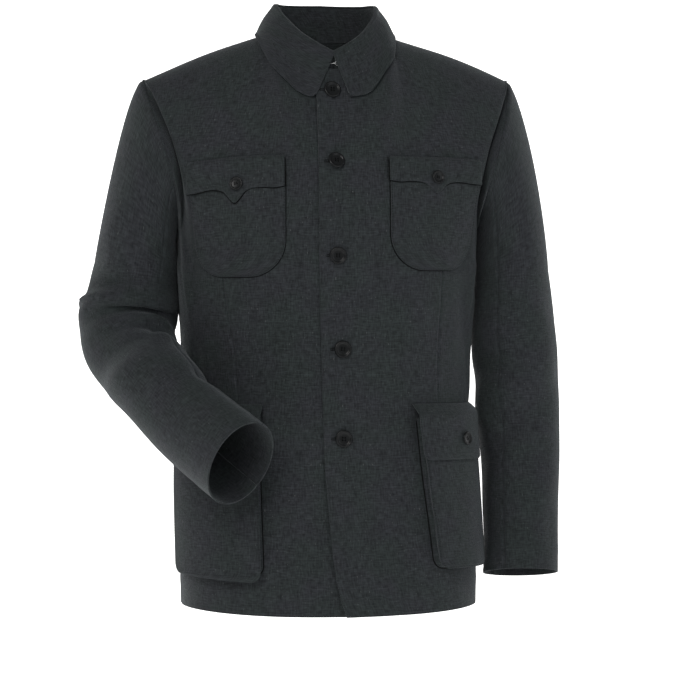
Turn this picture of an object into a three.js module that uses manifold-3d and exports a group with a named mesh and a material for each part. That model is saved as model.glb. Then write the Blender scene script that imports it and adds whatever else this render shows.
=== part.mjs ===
import * as THREE from 'three'
import { mergeVertices } from 'three/addons/utils/BufferGeometryUtils.js'
import Module from 'manifold-3d'

// Mao jacket in its worn form, millimetres, +Z up, the front faces -Y, +X is the wearer's left.
// Height 0 is where the shoulder meets the side of the neck.

// main sizes
const WALL = 2
const TRIM_WALL = 1.6
const SEAM_GAP = 0.3
const ARM_GAP = 0.5
const HEM = -746
const HEM_RISE = 6
const CHEST_LINE = -300
const ROUNDNESS = 0.83
const UNDERLAP = 25
const OVERLAP_LIFT = 2.9

// body sections, half a section each: half width, depth before and behind the middle
const BODY = [
  { height: -760, wide: 193, front: 147, back: 131 },
  { height: -680, wide: 194, front: 146, back: 130 },
  { height: -590, wide: 192, front: 142, back: 124 },
  { height: -500, wide: 188, front: 138, back: 115 },
  { height: -420, wide: 189, front: 137, back: 112 },
  { height: -340, wide: 192, front: 140, back: 121 },
  { height: -262, wide: 195, front: 141, back: 130 },
  { height: -180, wide: 195, front: 136, back: 133 },
]

// shares of the half body: neckline, shoulder seam, front armhole, then the same backward behind
const NECK_SHARE = 0.3
const SEAM_SHARE = 0.62
const ARM_STEPS = 10

// shoulder seam from the neck out
const SHOULDER = [
  { out: 0, x: 80, y: 0, z: 3 },
  { out: 0.5, x: 158, y: 4, z: -24 },
  { out: 1, x: 238, y: 8, z: -59 },
]

// armhole, a closed loop of equal steps: shoulder point, front, underarm, back
const ARMHOLE = [
  { x: 238, y: 8, z: -59 },
  { x: 230, y: -40, z: -95 },
  { x: 216, y: -70, z: -148 },
  { x: 200, y: -64, z: -212 },
  { x: 194, y: 4, z: -262 },
  { x: 204, y: 62, z: -212 },
  { x: 221, y: 76, z: -148 },
  { x: 233, y: 50, z: -95 },
]

// the way the cloth runs as it meets the armhole, from the shoulder point down
const ARM_MEET = [
  { down: 0, x: 0, y: 1, z: 0 },
  { down: 0.25, x: 0.62, y: 0.42, z: 0.66 },
  { down: 0.5, x: 0.62, y: 0.22, z: 0.75 },
  { down: 0.75, x: 0.38, y: 0.12, z: 0.92 },
  { down: 1, x: 0.12, y: 0, z: 0.99 },
]

// edge of the lapping left front and the line of its buttons
const FRONT_EDGE = [
  { height: -746, x: 3, lift: 9 },
  { height: -695, x: -10, lift: 5 },
  { height: -577, x: -18, lift: 1.5 },
  { height: -521, x: -20, lift: 0.5 },
  { height: -416, x: -23, lift: 0 },
  { height: -290, x: -26, lift: 0 },
  { height: -140, x: -26, lift: 0.2 },
  { height: -50, x: -25, lift: 2 },
]
const FRONT_BUTTONS = [
  { height: -80, x: -5, tip: 4, proud: 1 },
  { height: -172, x: -4, tip: 12, proud: 2.9 },
  { height: -291, x: -2, tip: 2, proud: 1 },
  { height: -409, x: 4, tip: -5, proud: 1 },
  { height: -522, x: 5, tip: 3, proud: 1 },
]

// soft folds of the body: place round (0 front, 1 side, 2 back), height, reach round and up, slant, depth
const BODY_FOLDS = [
  { side: -1, round: 0.62, height: -430, reachRound: 0.1, reachUp: 90, slant: 0.0012, depth: -4 },
  { side: -1, round: 0.8, height: -345, reachRound: 0.09, reachUp: 60, slant: 0.002, depth: 5 },
  { side: 1, round: 0.74, height: -390, reachRound: 0.09, reachUp: 80, slant: -0.0015, depth: -5 },
  { side: 1, round: 0.88, height: -340, reachRound: 0.08, reachUp: 60, slant: -0.002, depth: 4 },
  { side: -1, round: 1.3, height: -440, reachRound: 0.12, reachUp: 90, slant: 0.001, depth: -6 },
  { side: 1, round: 1.34, height: -420, reachRound: 0.12, reachUp: 90, slant: -0.001, depth: -6 },
  { side: -1, round: 1.55, height: -330, reachRound: 0.1, reachUp: 110, slant: -0.0012, depth: 5 },
  { side: 1, round: 1.52, height: -350, reachRound: 0.1, reachUp: 100, slant: 0.0012, depth: 5 },
]

// sleeves, from just under the armhole to the cuff: middle, half width outward, half width forward
const LEFT_ARM = [
  { x: 248, y: 4, z: -310, wide: 49, deep: 70 },
  { x: 253, y: 4, z: -375, wide: 56, deep: 65 },
  { x: 256.5, y: 2, z: -450, wide: 57, deep: 60 },
  { x: 258.5, y: -2, z: -545, wide: 54.5, deep: 55 },
  { x: 257.5, y: -12, z: -625, wide: 52, deep: 52 },
  { x: 256, y: -27, z: -703, wide: 50, deep: 50 },
]
const RIGHT_ARM = [
  { x: 250.5, y: 4, z: -305, wide: 52.5, deep: 69 },
  { x: 256, y: 5, z: -338, wide: 57.5, deep: 66 },
  { x: 259.5, y: 1, z: -374, wide: 62, deep: 62 },
  { x: 257, y: -22, z: -407, wide: 60.5, deep: 57 },
  { x: 244, y: -62, z: -433, wide: 55, deep: 53 },
  { x: 223, y: -113, z: -459, wide: 53, deep: 54 },
  { x: 189, y: -162, z: -499, wide: 51, deep: 57 },
  { x: 133, y: -229, z: -548, wide: 51, deep: 60 },
]

// sleeve folds: share of the way down, degrees round (0 out, 90 front), reach down and round, slant, depth
const LEFT_FOLDS = [
  { down: 0.3, round: 150, reachDown: 0.05, reachRound: 50, slant: 0.0012, depth: -5 },
  { down: 0.4, round: 130, reachDown: 0.06, reachRound: 55, slant: 0.0014, depth: 5 },
  { down: 0.52, round: 110, reachDown: 0.06, reachRound: 60, slant: 0.0018, depth: -5 },
  { down: 0.12, round: 40, reachDown: 0.09, reachRound: 40, slant: -0.0015, depth: -3 },
  { down: 0.7, round: 60, reachDown: 0.1, reachRound: 40, slant: 0.002, depth: 3 },
  { down: 0.35, round: 250, reachDown: 0.07, reachRound: 50, slant: -0.0015, depth: -5 },
  { down: 0.6, round: 270, reachDown: 0.09, reachRound: 45, slant: 0.0015, depth: 3 },
]
const RIGHT_FOLDS = [
  { down: 0.05, round: 60, reachDown: 0.045, reachRound: 65, slant: -0.0003, depth: -5 },
  { down: 0.145, round: 70, reachDown: 0.04, reachRound: 75, slant: -0.0002, depth: 7 },
  { down: 0.215, round: 85, reachDown: 0.035, reachRound: 65, slant: 0.0002, depth: -6 },
  { down: 0.3, round: 110, reachDown: 0.04, reachRound: 50, slant: 0.0004, depth: 5 },
  { down: 0.37, round: 115, reachDown: 0.035, reachRound: 50, slant: 0.0006, depth: -6 },
  { down: 0.45, round: 120, reachDown: 0.045, reachRound: 45, slant: 0.0008, depth: 4 },
  { down: 0.4, round: 20, reachDown: 0.06, reachRound: 45, slant: 0.001, depth: -4 },
  { down: 0.52, round: 25, reachDown: 0.06, reachRound: 50, slant: 0.0012, depth: 4 },
  { down: 0.25, round: 270, reachDown: 0.07, reachRound: 50, slant: -0.0008, depth: -4 },
]
const SLEEVE_ROWS = 17
const CAP_ROWS = 5

// collar, half of it from the centre front to the centre back: foot on the neckline, fold, outer edge
const COLLAR = [
  { turn: 0, foldX: 0, foldY: -80, foldZ: -28, edgeX: 21, edgeY: -106, edgeZ: -76 },
  { turn: 15, foldX: 20, foldY: -78, foldZ: -17, edgeX: 39, edgeY: -105, edgeZ: -73 },
  { turn: 35, foldX: 40, foldY: -65, foldZ: -2, edgeX: 58, edgeY: -95, edgeZ: -55 },
  { turn: 60, foldX: 59, foldY: -38, foldZ: 22, edgeX: 80, edgeY: -76, edgeZ: -30 },
  { turn: 75, foldX: 64, foldY: -19, foldZ: 34, edgeX: 89, edgeY: -40, edgeZ: -5 },
  { turn: 90, foldX: 66, foldY: 2, foldZ: 42, edgeX: 91, edgeY: 0, edgeZ: 4 },
  { turn: 125, foldX: 53, foldY: 40, foldZ: 46, edgeX: 80, edgeY: 46, edgeZ: 2 },
  { turn: 155, foldX: 28, foldY: 58, foldZ: 48, edgeX: 43, edgeY: 70.5, edgeZ: -4 },
  { turn: 180, foldX: 0, foldY: 62, foldZ: 49, edgeX: 0, edgeY: 78, edgeZ: -7 },
]
const COLLAR_STEPS = 12

// chest pockets, along the cloth from the centre front and by height
const CHEST_POCKET = { inner: 66, width: 128, top: -180, bottom: -318, corner: 46, proud: 1.5, rowStep: 12 }
const CHEST_FLAP = { inner: 64, width: 132, top: -164, outerFall: 8, proud: 4.5, buttonDrop: 37 }
const LEFT_CHEST = { bottom: -309, outerFall: 5, flapShare: 0.79, buttonDrop: 28 }
const CHEST_FLAP_DROP = [
  { share: 0, drop: 40 },
  { share: 0.1, drop: 42 },
  { share: 0.26, drop: 41 },
  { share: 0.38, drop: 44 },
  { share: 0.5, drop: 59 },
  { share: 0.62, drop: 44 },
  { share: 0.74, drop: 40 },
  { share: 0.9, drop: 41 },
  { share: 1, drop: 40 },
]

// lower bellows pockets; the left one hangs aslant and lies flatter toward the side
const LOWER_POCKET = { inner: 100, width: 132, top: -496, bottom: -695, corner: 14, depth: 14, rowStep: 24 }
const LOWER_FLAP = { inner: 96, width: 140, top: -478, bottom: -551, corner: 10, proud: 17.2, buttonDrop: 46 }
const LEFT_LOWER = { bottom: -688, slant: 0.11, outerFlat: 0.36, narrower: 12 }

// buttons
const FRONT_BUTTON = { radius: 11, thick: 3.4 }
const SMALL_BUTTON = { radius: 8.7, thick: 3 }

// hook and eye at the ends of the collar stand
const COLLAR_HOOK = { width: 7, height: -43, depth: 88.4, radius: 0.45 }

// the left shoulder stands a little higher and wider than the right
const LEFT_SET = { up: 6, out: 5, inner: 70, outer: 225, low: -430, high: -130 }

// the skirt swings a little toward the left
const HEM_SWING = { out: 4, from: -540, to: -720 }

// look of each stuff
const CLOTH = 0x2d3032
const BUTTON = 0x121314
const METAL = 0xb9bcc0

const wasm = await Module()
wasm.setup()
const { smoothstep } = THREE.MathUtils
const vec = (x, y, z) => new THREE.Vector3(x, y, z)

// value of every column of a table at a key, on a smooth curve through its rows
function tableAt(rows, key, value) {
  const last = rows.length - 1
  const place = Math.min(Math.max(value, rows[0][key]), rows[last][key])
  let i = 0
  while (i < last - 1 && rows[i + 1][key] < place) i += 1
  const step = rows[i + 1][key] - rows[i][key]
  const u = (place - rows[i][key]) / step
  const slope = (n, column) => {
    const before = rows[Math.max(n - 1, 0)]
    const after = rows[Math.min(n + 1, last)]
    return (after[column] - before[column]) / (after[key] - before[key])
  }
  const found = {}
  for (const column of Object.keys(rows[0])) {
    const [leaving, arriving] = [slope(i, column) * step, slope(i + 1, column) * step]
    found[column] = hermite(u, rows[i][column], leaving, rows[i + 1][column], arriving)
  }
  return found
}

function hermite(u, start, startSlope, end, endSlope) {
  const u2 = u * u
  const u3 = u2 * u
  const fromStart = start * (2 * u3 - 3 * u2 + 1) + startSlope * (u3 - 2 * u2 + u)
  return fromStart + end * (3 * u2 - 2 * u3) + endSlope * (u3 - u2)
}

function hermitePoint(u, start, startSlope, end, endSlope) {
  const at = (a) => hermite(u, start[a], startSlope[a], end[a], endSlope[a])
  return vec(at('x'), at('y'), at('z'))
}

// point on a closed loop of equal steps
function loopAt(rows, place) {
  const n = rows.length
  const i = Math.floor(place)
  const row = (k) => rows[((k % n) + n) % n]
  const slope = (k) => {
    const [a, b] = [row(k - 1), row(k + 1)]
    return vec((b.x - a.x) / 2, (b.y - a.y) / 2, (b.z - a.z) / 2)
  }
  return hermitePoint(place - i, row(i), slope(i), row(i + 1), slope(i + 1))
}

const bell = (value, reach) => Math.exp(-((value / reach) ** 2))

// shift of the left side toward its shoulder
function leftSet(point) {
  const { inner, outer, low, high } = LEFT_SET
  const share = smoothstep(point.x, inner, outer) * smoothstep(point.z, low, high)
  point.z += LEFT_SET.up * share
  point.x += LEFT_SET.out * share
  return point
}

// body section at a height: round is 0 at the centre front, 1 at the side, 2 at the centre back
function sectionAt(round, height) {
  const row = tableAt(BODY, 'height', height)
  const angle = (round * Math.PI) / 2
  const across = Math.sign(Math.sin(angle)) * Math.abs(Math.sin(angle)) ** ROUNDNESS
  const along = Math.sign(Math.cos(angle)) * Math.abs(Math.cos(angle)) ** ROUNDNESS
  const depth = Math.cos(angle) > 0 ? row.front : row.back
  return vec(row.wide * across, -depth * along, height)
}

// neckline round the neck: turn 0 is the centre front, 180 the centre back
function neckline(turn) {
  const angle = (turn * Math.PI) / 180
  const front = Math.cos(angle) > 0
  const height = front ? 3 - 55 * Math.cos(angle) ** 1.5 : 3 + 2 * Math.cos(angle)
  return vec(80 * Math.sin(angle), -(front ? 88 : 68) * Math.cos(angle), height)
}

// the top edge slows down where it turns a corner, so the cloth below stays smooth
const neckShare = (turn) => (NECK_SHARE * Math.asin(turn / 90)) / (Math.PI / 2)
const seamOut = (share) => smoothstep(share, NECK_SHARE, SEAM_SHARE)
const armShare = (down) => SEAM_SHARE + ((1 - SEAM_SHARE) * Math.acos(1 - down)) / (Math.PI / 2)

// top edge of the half body and the way the cloth runs as it meets it
function topEdge(round) {
  const behind = round > 1
  const share = behind ? 2 - round : round
  const back = behind ? -1 : 1
  if (share <= NECK_SHARE) {
    const part = Math.sin((share / NECK_SHARE) * (Math.PI / 2))
    const turn = behind ? 180 - 90 * part : 90 * part
    const lean = behind ? 0.65 : 0.35
    const meet = vec(0, back * (lean + (1 - lean) * part), 0.94 * (1 - part)).normalize()
    return { point: neckline(turn), meet }
  }
  if (share <= SEAM_SHARE) {
    const row = tableAt(SHOULDER, 'out', seamOut(share))
    return { point: vec(row.x, row.y, row.z), meet: vec(0, back, 0) }
  }
  const down = 1 - Math.cos(((share - SEAM_SHARE) / (1 - SEAM_SHARE)) * (Math.PI / 2))
  const row = tableAt(ARM_MEET, 'down', down)
  const meet = vec(row.x, back * row.y, row.z).normalize()
  return { point: loopAt(ARMHOLE, behind ? 8 - 4 * down : 4 * down), meet }
}

// the hem runs up a little toward the sides
const hemAt = (round) => HEM + (HEM_RISE * (1 - Math.cos(round * Math.PI))) / 2

// bare point of the half body: rise 0 is the hem, 1 the chest line, 2 the top edge
function barePoint(round, rise) {
  if (round < 0) {
    const other = barePoint(-round, rise)
    return vec(-other.x, other.y, other.z)
  }
  if (rise <= 1) return sectionAt(round, hemAt(round) + (CHEST_LINE - hemAt(round)) * rise)
  const foot = sectionAt(round, CHEST_LINE)
  const { point, meet } = topEdge(round)
  const far = foot.distanceTo(point)
  const lead = sectionAt(round, CHEST_LINE + 10).sub(sectionAt(round, CHEST_LINE - 10))
  lead.multiplyScalar(far / 20)
  return hermitePoint(rise - 1, foot, lead, point, meet.clone().multiplyScalar(far * 0.95))
}

function bareNormal(round, rise) {
  const share = round > 1 ? 2 - round : round
  if (rise > 1.999 && share >= NECK_SHARE && share <= SEAM_SHARE + 1e-6) {
    const out = seamOut(share)
    const a = tableAt(SHOULDER, 'out', Math.max(out - 0.02, 0))
    const b = tableAt(SHOULDER, 'out', Math.min(out + 0.02, 1))
    return vec(b.x - a.x, 0, b.z - a.z).cross(vec(0, 1, 0)).normalize()
  }
  const low = Math.max(rise - 0.01, 0)
  const high = Math.min(rise + 0.01, 2)
  const level = Math.min(rise, 1.995)
  const alongRound = barePoint(round + 0.004, level).sub(barePoint(round - 0.004, level))
  return alongRound.cross(barePoint(round, high).sub(barePoint(round, low))).normalize()
}

// point of the worn body on one side, with its folds, moved out along the cloth
function bodyPoint(side, round, rise, out = 0) {
  const point = barePoint(round, rise)
  const normal = bareNormal(round, rise)
  let fold = 0
  const quiet = rise > 1 ? Math.max(0, 1 - (rise - 1) * 2.5) : 1
  for (const f of BODY_FOLDS) {
    if (f.side !== side) continue
    const up = point.z - f.height
    fold += quiet * f.depth * bell(up, f.reachUp) * bell(round - f.round - f.slant * up, f.reachRound)
  }
  point.addScaledVector(normal, out + fold)
  const worn = leftSet(vec(point.x * side, point.y, point.z))
  worn.x += HEM_SWING.out * smoothstep(-worn.z, -HEM_SWING.from, -HEM_SWING.to)
  return { point: worn, normal: vec(normal.x * side, normal.y, normal.z) }
}

// rise at which the half body has a height
function riseAt(round, height) {
  if (height <= CHEST_LINE) return (height - hemAt(round)) / (CHEST_LINE - hemAt(round))
  let [low, high] = [1, 2]
  for (let i = 0; i < 24; i += 1) {
    const middle = (low + high) / 2
    if (barePoint(round, middle).z < height) low = middle
    else high = middle
  }
  return (low + high) / 2
}

// place on a front by the length of cloth from the centre front and by height
const levels = new Map()
function frontLevel(height) {
  const key = height.toFixed(3)
  if (levels.has(key)) return levels.get(key)
  const level = [{ length: 0, round: 0 }]
  let before = barePoint(0, riseAt(0, height))
  for (let k = 1; k <= 110; k += 1) {
    const round = k * 0.01
    const here = barePoint(round, riseAt(round, height))
    if (Math.abs(here.z - height) > 1) break
    level.push({ length: level[k - 1].length + here.distanceTo(before), round })
    before = here
  }
  levels.set(key, level)
  return level
}

function roundAt(length, height) {
  const level = frontLevel(height)
  const reach = Math.abs(length)
  let k = 1
  while (k < level.length - 1 && level[k].length < reach) k += 1
  const [a, b] = [level[k - 1], level[k]]
  const round = a.round + ((reach - a.length) / (b.length - a.length)) * (b.round - a.round)
  return Math.sign(length) * round || 0
}

// corner of a front panel's faces: the left front is lifted where it laps over the right
function frontCorner(side, round, rise) {
  if (side < 0) return bodyPoint(side, round, rise)
  const row = tableAt(FRONT_EDGE, 'height', Math.min(barePoint(0, rise).z, -52))
  const lap = 1 - smoothstep(round, 0.1, 0.2)
  const near = 1 - smoothstep(round, -0.06, 0.1)
  return bodyPoint(side, round, rise, OVERLAP_LIFT * lap + row.lift * near)
}

// place on the flat faces of a front, moved out along the cloth
function onFront(side, length, height, out) {
  const round = roundAt(length, height)
  const rise = riseAt(Math.abs(round), height)
  const columns = [-0.055, ...frontRounds]
  const cell = (stops, value) => {
    let k = 0
    while (k < stops.length - 2 && stops[k + 1] <= value) k += 1
    return [stops[k], stops[k + 1], (value - stops[k]) / (stops[k + 1] - stops[k])]
  }
  const [near, far, a] = cell(columns, round)
  const [low, high, b] = cell(bodyRises, rise)
  const corner = (c, r) => frontCorner(side, c, r).point
  const point = corner(near, low).multiplyScalar(a > b ? 1 - a : 1 - b)
  point.addScaledVector(corner(far, high), Math.min(a, b))
  point.addScaledVector(a > b ? corner(far, low) : corner(near, high), Math.abs(a - b))
  const { normal } = bodyPoint(side, round, Math.min(rise, 1.99))
  return { point: point.addScaledVector(normal, out), normal }
}

// closed solid from a grid of outer points and the grid of inner points behind it
function solidFromGrids(outer, inner, flip) {
  const rows = outer.length
  const columns = outer[0].length
  const points = [...outer.flat(), ...inner.flat()]
  const index = []
  const behind = rows * columns
  const at = (i, j) => i * columns + j
  const quad = (a, b, c, d) => index.push(a, b, c, a, c, d)
  for (let i = 0; i < rows - 1; i += 1) {
    for (let j = 0; j < columns - 1; j += 1) {
      quad(at(i, j), at(i + 1, j), at(i + 1, j + 1), at(i, j + 1))
      quad(behind + at(i, j), behind + at(i, j + 1), behind + at(i + 1, j + 1), behind + at(i + 1, j))
    }
  }
  // the cut edges of two pieces that meet are split the same way, from their higher end
  const level = (k) => points[k].z + 0.01 * Math.abs(points[k].x)
  const cutEdge = (a, b) => {
    if (level(a) > level(b)) quad(a, b, behind + b, behind + a)
    else index.push(a, b, behind + a, b, behind + b, behind + a)
  }
  for (let j = 0; j < columns - 1; j += 1) {
    cutEdge(at(0, j), at(0, j + 1))
    cutEdge(at(rows - 1, j + 1), at(rows - 1, j))
  }
  for (let i = 0; i < rows - 1; i += 1) {
    cutEdge(at(i, columns - 1), at(i + 1, columns - 1))
    cutEdge(at(i + 1, 0), at(i, 0))
  }
  if (flip) index.reverse()
  const geometry = new THREE.BufferGeometry()
  const numbers = points.flatMap((p) => [p.x, p.y, p.z])
  geometry.setAttribute('position', new THREE.Float32BufferAttribute(numbers, 3))
  geometry.setIndex(index)
  return geometry
}

// solid of cloth from a grid of places, each an outer point and its normal
function clothSolid(grid, wall, flip) {
  const outer = grid.map((row) => row.map((place) => place.point))
  const behind = ({ point, normal }) => point.clone().addScaledVector(normal, -wall)
  const inner = grid.map((row) => row.map(behind))
  return solidFromGrids(outer, inner, flip)
}

const group = new THREE.Group()
group.name = 'mao_jacket'
const rough = { cloth: [CLOTH, 0.9, 0], button: [BUTTON, 0.25, 0], metal: [METAL, 0.35, 1] }
function add(name, geometry, stuff = 'cloth') {
  const [color, roughness, metalness] = rough[stuff]
  const mesh = new THREE.Mesh(geometry, new THREE.MeshStandardMaterial({ color, roughness, metalness }))
  mesh.name = name
  group.add(mesh)
}

// columns round the half body and rows up it
const neckRounds = [15, 30, 45, 60, 75, 90].map(neckShare)
const seamRounds = [0.4, 0.51, SEAM_SHARE]
const armRounds = Array.from({ length: ARM_STEPS }, (_, i) => armShare((i + 1) / ARM_STEPS))
const frontRounds = [0, ...neckRounds, ...seamRounds, ...armRounds]
const backRounds = [...frontRounds].reverse().map((round) => 2 - round)
const heightsBelow = [HEM, -695, -640, -585, -525, -470, -420, -375, -335, CHEST_LINE]
const risesAbove = [1.13, 1.27, 1.4, 1.53, 1.66, 1.78, 1.9, 2]
const bodyRises = [...heightsBelow.map((height) => (height - HEM) / (CHEST_LINE - HEM)), ...risesAbove]

// place on the armhole loop of a place round the half body
function armPlace(round) {
  const share = round > 1 ? 2 - round : round
  const down = 1 - Math.cos(((share - SEAM_SHARE) / (1 - SEAM_SHARE)) * (Math.PI / 2))
  return round > 1 ? 8 - 4 * down : 4 * down
}

// half the gap at the armhole, across the seam and away from the body
function armGap(round) {
  const place = armPlace(round)
  const along = loopAt(ARMHOLE, place + 0.05).sub(loopAt(ARMHOLE, place - 0.05))
  return bareNormal(round, 2).cross(along).normalize().multiplyScalar(ARM_GAP / 2)
}

// a place on the body drawn in from the seams round its panel
function drawnIn(side, round, rise, place, behind) {
  const share = behind ? 2 - round : round
  const back = behind ? SEAM_GAP / 2 : -SEAM_GAP / 2
  if (share > 1 - 1e-6) place.point.y += back
  if (rise > 1.999 && share > NECK_SHARE - 1e-6 && share < SEAM_SHARE + 1e-6) place.point.y += back
  if (rise > 1.999 && share > SEAM_SHARE - 1e-6) {
    const gap = armGap(round)
    place.point.sub(vec(gap.x * side, gap.y, gap.z))
  }
  return place
}

function frontPanel(side) {
  const grid = [null, ...frontRounds].map((fixed) =>
    bodyRises.map((rise) => {
      const height = Math.min(barePoint(0, rise).z, -52)
      const edge = side > 0 ? tableAt(FRONT_EDGE, 'height', height).x : -UNDERLAP
      let round = fixed
      if (fixed === null) round = roundAt(edge, height)
      if (fixed === 0 && edge > -8) round = 0.016
      return drawnIn(side, round, rise, frontCorner(side, round, rise), false)
    }),
  )
  return clothSolid(grid, WALL, side < 0)
}

function backPanel() {
  const half = backRounds.filter((round) => round < 2 - 1e-6)
  const cell = (side, round, rise) => drawnIn(side, round, rise, bodyPoint(side, round, rise), true)
  const column = (side, round) => bodyRises.map((rise) => cell(side, round, rise))
  const grid = [
    ...half.map((round) => column(1, round)),
    column(1, 2),
    ...[...half].reverse().map((round) => column(-1, round)),
  ]
  return clothSolid(grid, WALL, false)
}

// frames down an arm: middle, way down, way out, way forward
function armFrames(rows) {
  const curve = rows.map((row) => ({ ...row, down: 0 }))
  for (let i = 1; i < curve.length; i += 1) {
    const [a, b] = [curve[i - 1], curve[i]]
    b.down = a.down + Math.hypot(b.x - a.x, b.y - a.y, b.z - a.z)
  }
  const length = curve.at(-1).down
  const frames = []
  let out = vec(1, 0, 0)
  for (let k = 0; k <= 80; k += 1) {
    const place = (length * k) / 80
    const row = tableAt(curve, 'down', place)
    const a = tableAt(curve, 'down', Math.max(place - 1, 0))
    const b = tableAt(curve, 'down', Math.min(place + 1, length))
    const way = vec(b.x - a.x, b.y - a.y, b.z - a.z).normalize()
    out = out.clone().addScaledVector(way, -out.dot(way)).normalize()
    frames.push({ row, way, out, forward: way.clone().cross(out) })
  }
  return frames
}

function frameAt(frames, down) {
  const place = Math.min(Math.max(down, 0), 1) * 80
  const i = Math.min(Math.floor(place), 79)
  const u = place - i
  const mix = (name) => frames[i][name].clone().lerp(frames[i + 1][name], u)
  const [a, b] = [frames[i].row, frames[i + 1].row]
  const number = (name) => a[name] + (b[name] - a[name]) * u
  const middle = vec(number('x'), number('y'), number('z'))
  const [wide, deep] = [number('wide'), number('deep')]
  return { middle, wide, deep, way: mix('way'), out: mix('out'), forward: mix('forward') }
}

// place round the half body where the armhole has a turn of the sleeve
function armRound(degrees) {
  const turned = turnedFrom(degrees)
  const round = armShare(Math.abs(turned) / 180)
  return turned < 0 ? 2 - round : round
}

// bare sleeve: degrees round, down 0 is under the armhole, below 0 runs back up to the armhole at -1
function sleeveBare(frames, degrees, down) {
  const frame = frameAt(frames, down)
  const angle = (degrees * Math.PI) / 180
  const point = frame.middle
    .clone()
    .addScaledVector(frame.out, frame.wide * Math.cos(angle))
    .addScaledVector(frame.forward, frame.deep * Math.sin(angle))
  if (down >= 0) return point
  const start = loopAt(ARMHOLE, degrees / 45).add(armGap(armRound(degrees)))
  const under = (1 - Math.cos(angle)) / 2
  const startSlope = vec(0.95 - 0.2 * under, 0, 0.12 - 0.55 * under).multiplyScalar(62 - 38 * under)
  const fall = Math.abs(start.z - point.z)
  const endSlope = frame.way.clone().multiplyScalar(Math.max(fall * 0.85, 18))
  return hermitePoint(1 + down, start, startSlope, point, endSlope)
}

// degrees brought between -180 and 180
const turnedFrom = (degrees) => ((((degrees + 180) % 360) + 360) % 360) - 180

function foldAt(folds, degrees, down) {
  let depth = 0
  for (const f of folds) {
    const turned = turnedFrom(degrees - f.round)
    depth += f.depth * bell(down - f.down - f.slant * turned, f.reachDown) * bell(turned, f.reachRound)
  }
  return depth * smoothstep(down, -0.1, 0.06) * (1 - smoothstep(down, 0.9, 1))
}

function sleevePanels(side, rows, folds) {
  const frames = armFrames(rows)
  const around = ARM_STEPS * 2
  const downs = []
  for (let k = 0; k < CAP_ROWS; k += 1) downs.push(-1 + (k / CAP_ROWS) ** 1.25)
  for (let k = 0; k <= SLEEVE_ROWS; k += 1) downs.push(k / SLEEVE_ROWS)
  const place = (step, down) => {
    const degrees = (step * 360) / around
    const point = sleeveBare(frames, degrees, down)
    const a = sleeveBare(frames, degrees - 3, down)
    const b = sleeveBare(frames, degrees + 3, down)
    const c = sleeveBare(frames, degrees, Math.max(down - 0.01, -1))
    const d = sleeveBare(frames, degrees, Math.min(down + 0.01, 1))
    let normal = b.clone().sub(a).cross(d.clone().sub(c)).normalize()
    if (down < -0.8) {
      const shared = bareNormal(armRound(degrees), 2)
      normal = down === -1 ? shared : normal.add(shared).normalize()
    }
    point.addScaledVector(normal, foldAt(folds, degrees, down))
    const set = leftSet(vec(point.x * side, point.y, point.z))
    return { point: set, normal: vec(normal.x * side, normal.y, normal.z) }
  }
  const pull = (grid) => {
    const half = SEAM_GAP / 2
    for (const [edge, next] of [[0, 1], [grid.length - 1, grid.length - 2]]) {
      grid[edge].forEach((here, k) => {
        const way = grid[next][k].point.clone().sub(here.point).normalize()
        here.point.addScaledVector(way, half)
      })
    }
    return grid
  }
  const strip = (from, to) => {
    const grid = []
    for (let step = from; step <= to; step += 1) {
      grid.push(downs.map((down) => place((step + around) % around, down)))
    }
    return pull(grid)
  }
  const seam = 7
  return {
    top: clothSolid(strip(-seam, seam), WALL, side < 0),
    under: clothSolid(strip(seam, around - seam), WALL, side < 0),
  }
}

// collar places: across 0 is the foot or fold, 1 the top or outer edge
function collarRow(turn) {
  const half = turn > 180 ? 360 - turn : turn
  const side = turn > 180 ? -1 : 1
  const row = tableAt(COLLAR, 'turn', half)
  const foot = neckline(half)
  const fold = vec(row.foldX * side, row.foldY, row.foldZ)
  const edge = vec(row.edgeX * side, row.edgeY, row.edgeZ)
  foot.x *= side
  const out = vec(foot.x, foot.y * 0.9, 0).normalize()
  return { foot, fold, edge, out }
}

function collarTurns(gap) {
  const turns = []
  const steps = COLLAR_STEPS * 2
  for (let k = 0; k <= steps; k += 1) turns.push(gap + ((360 - 2 * gap) * k) / steps)
  return turns
}

function collarStand() {
  const grid = collarTurns(1.2).map((turn) => {
    const { foot, fold, out } = collarRow(turn)
    const low = foot.clone().addScaledVector(out, -0.4).add(vec(0, 0, 0.45))
    const rise = fold.clone().sub(low)
    const along = vec(-out.y, out.x, 0)
    const normal = along.clone().cross(rise).normalize()
    return [0, 0.35, 0.7, 1].map((u) => ({
      point: low.clone().addScaledVector(rise, u).addScaledVector(out, 1.5 * Math.sin(Math.PI * u)),
      normal,
    }))
  })
  return clothSolid(grid, WALL, false)
}

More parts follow.
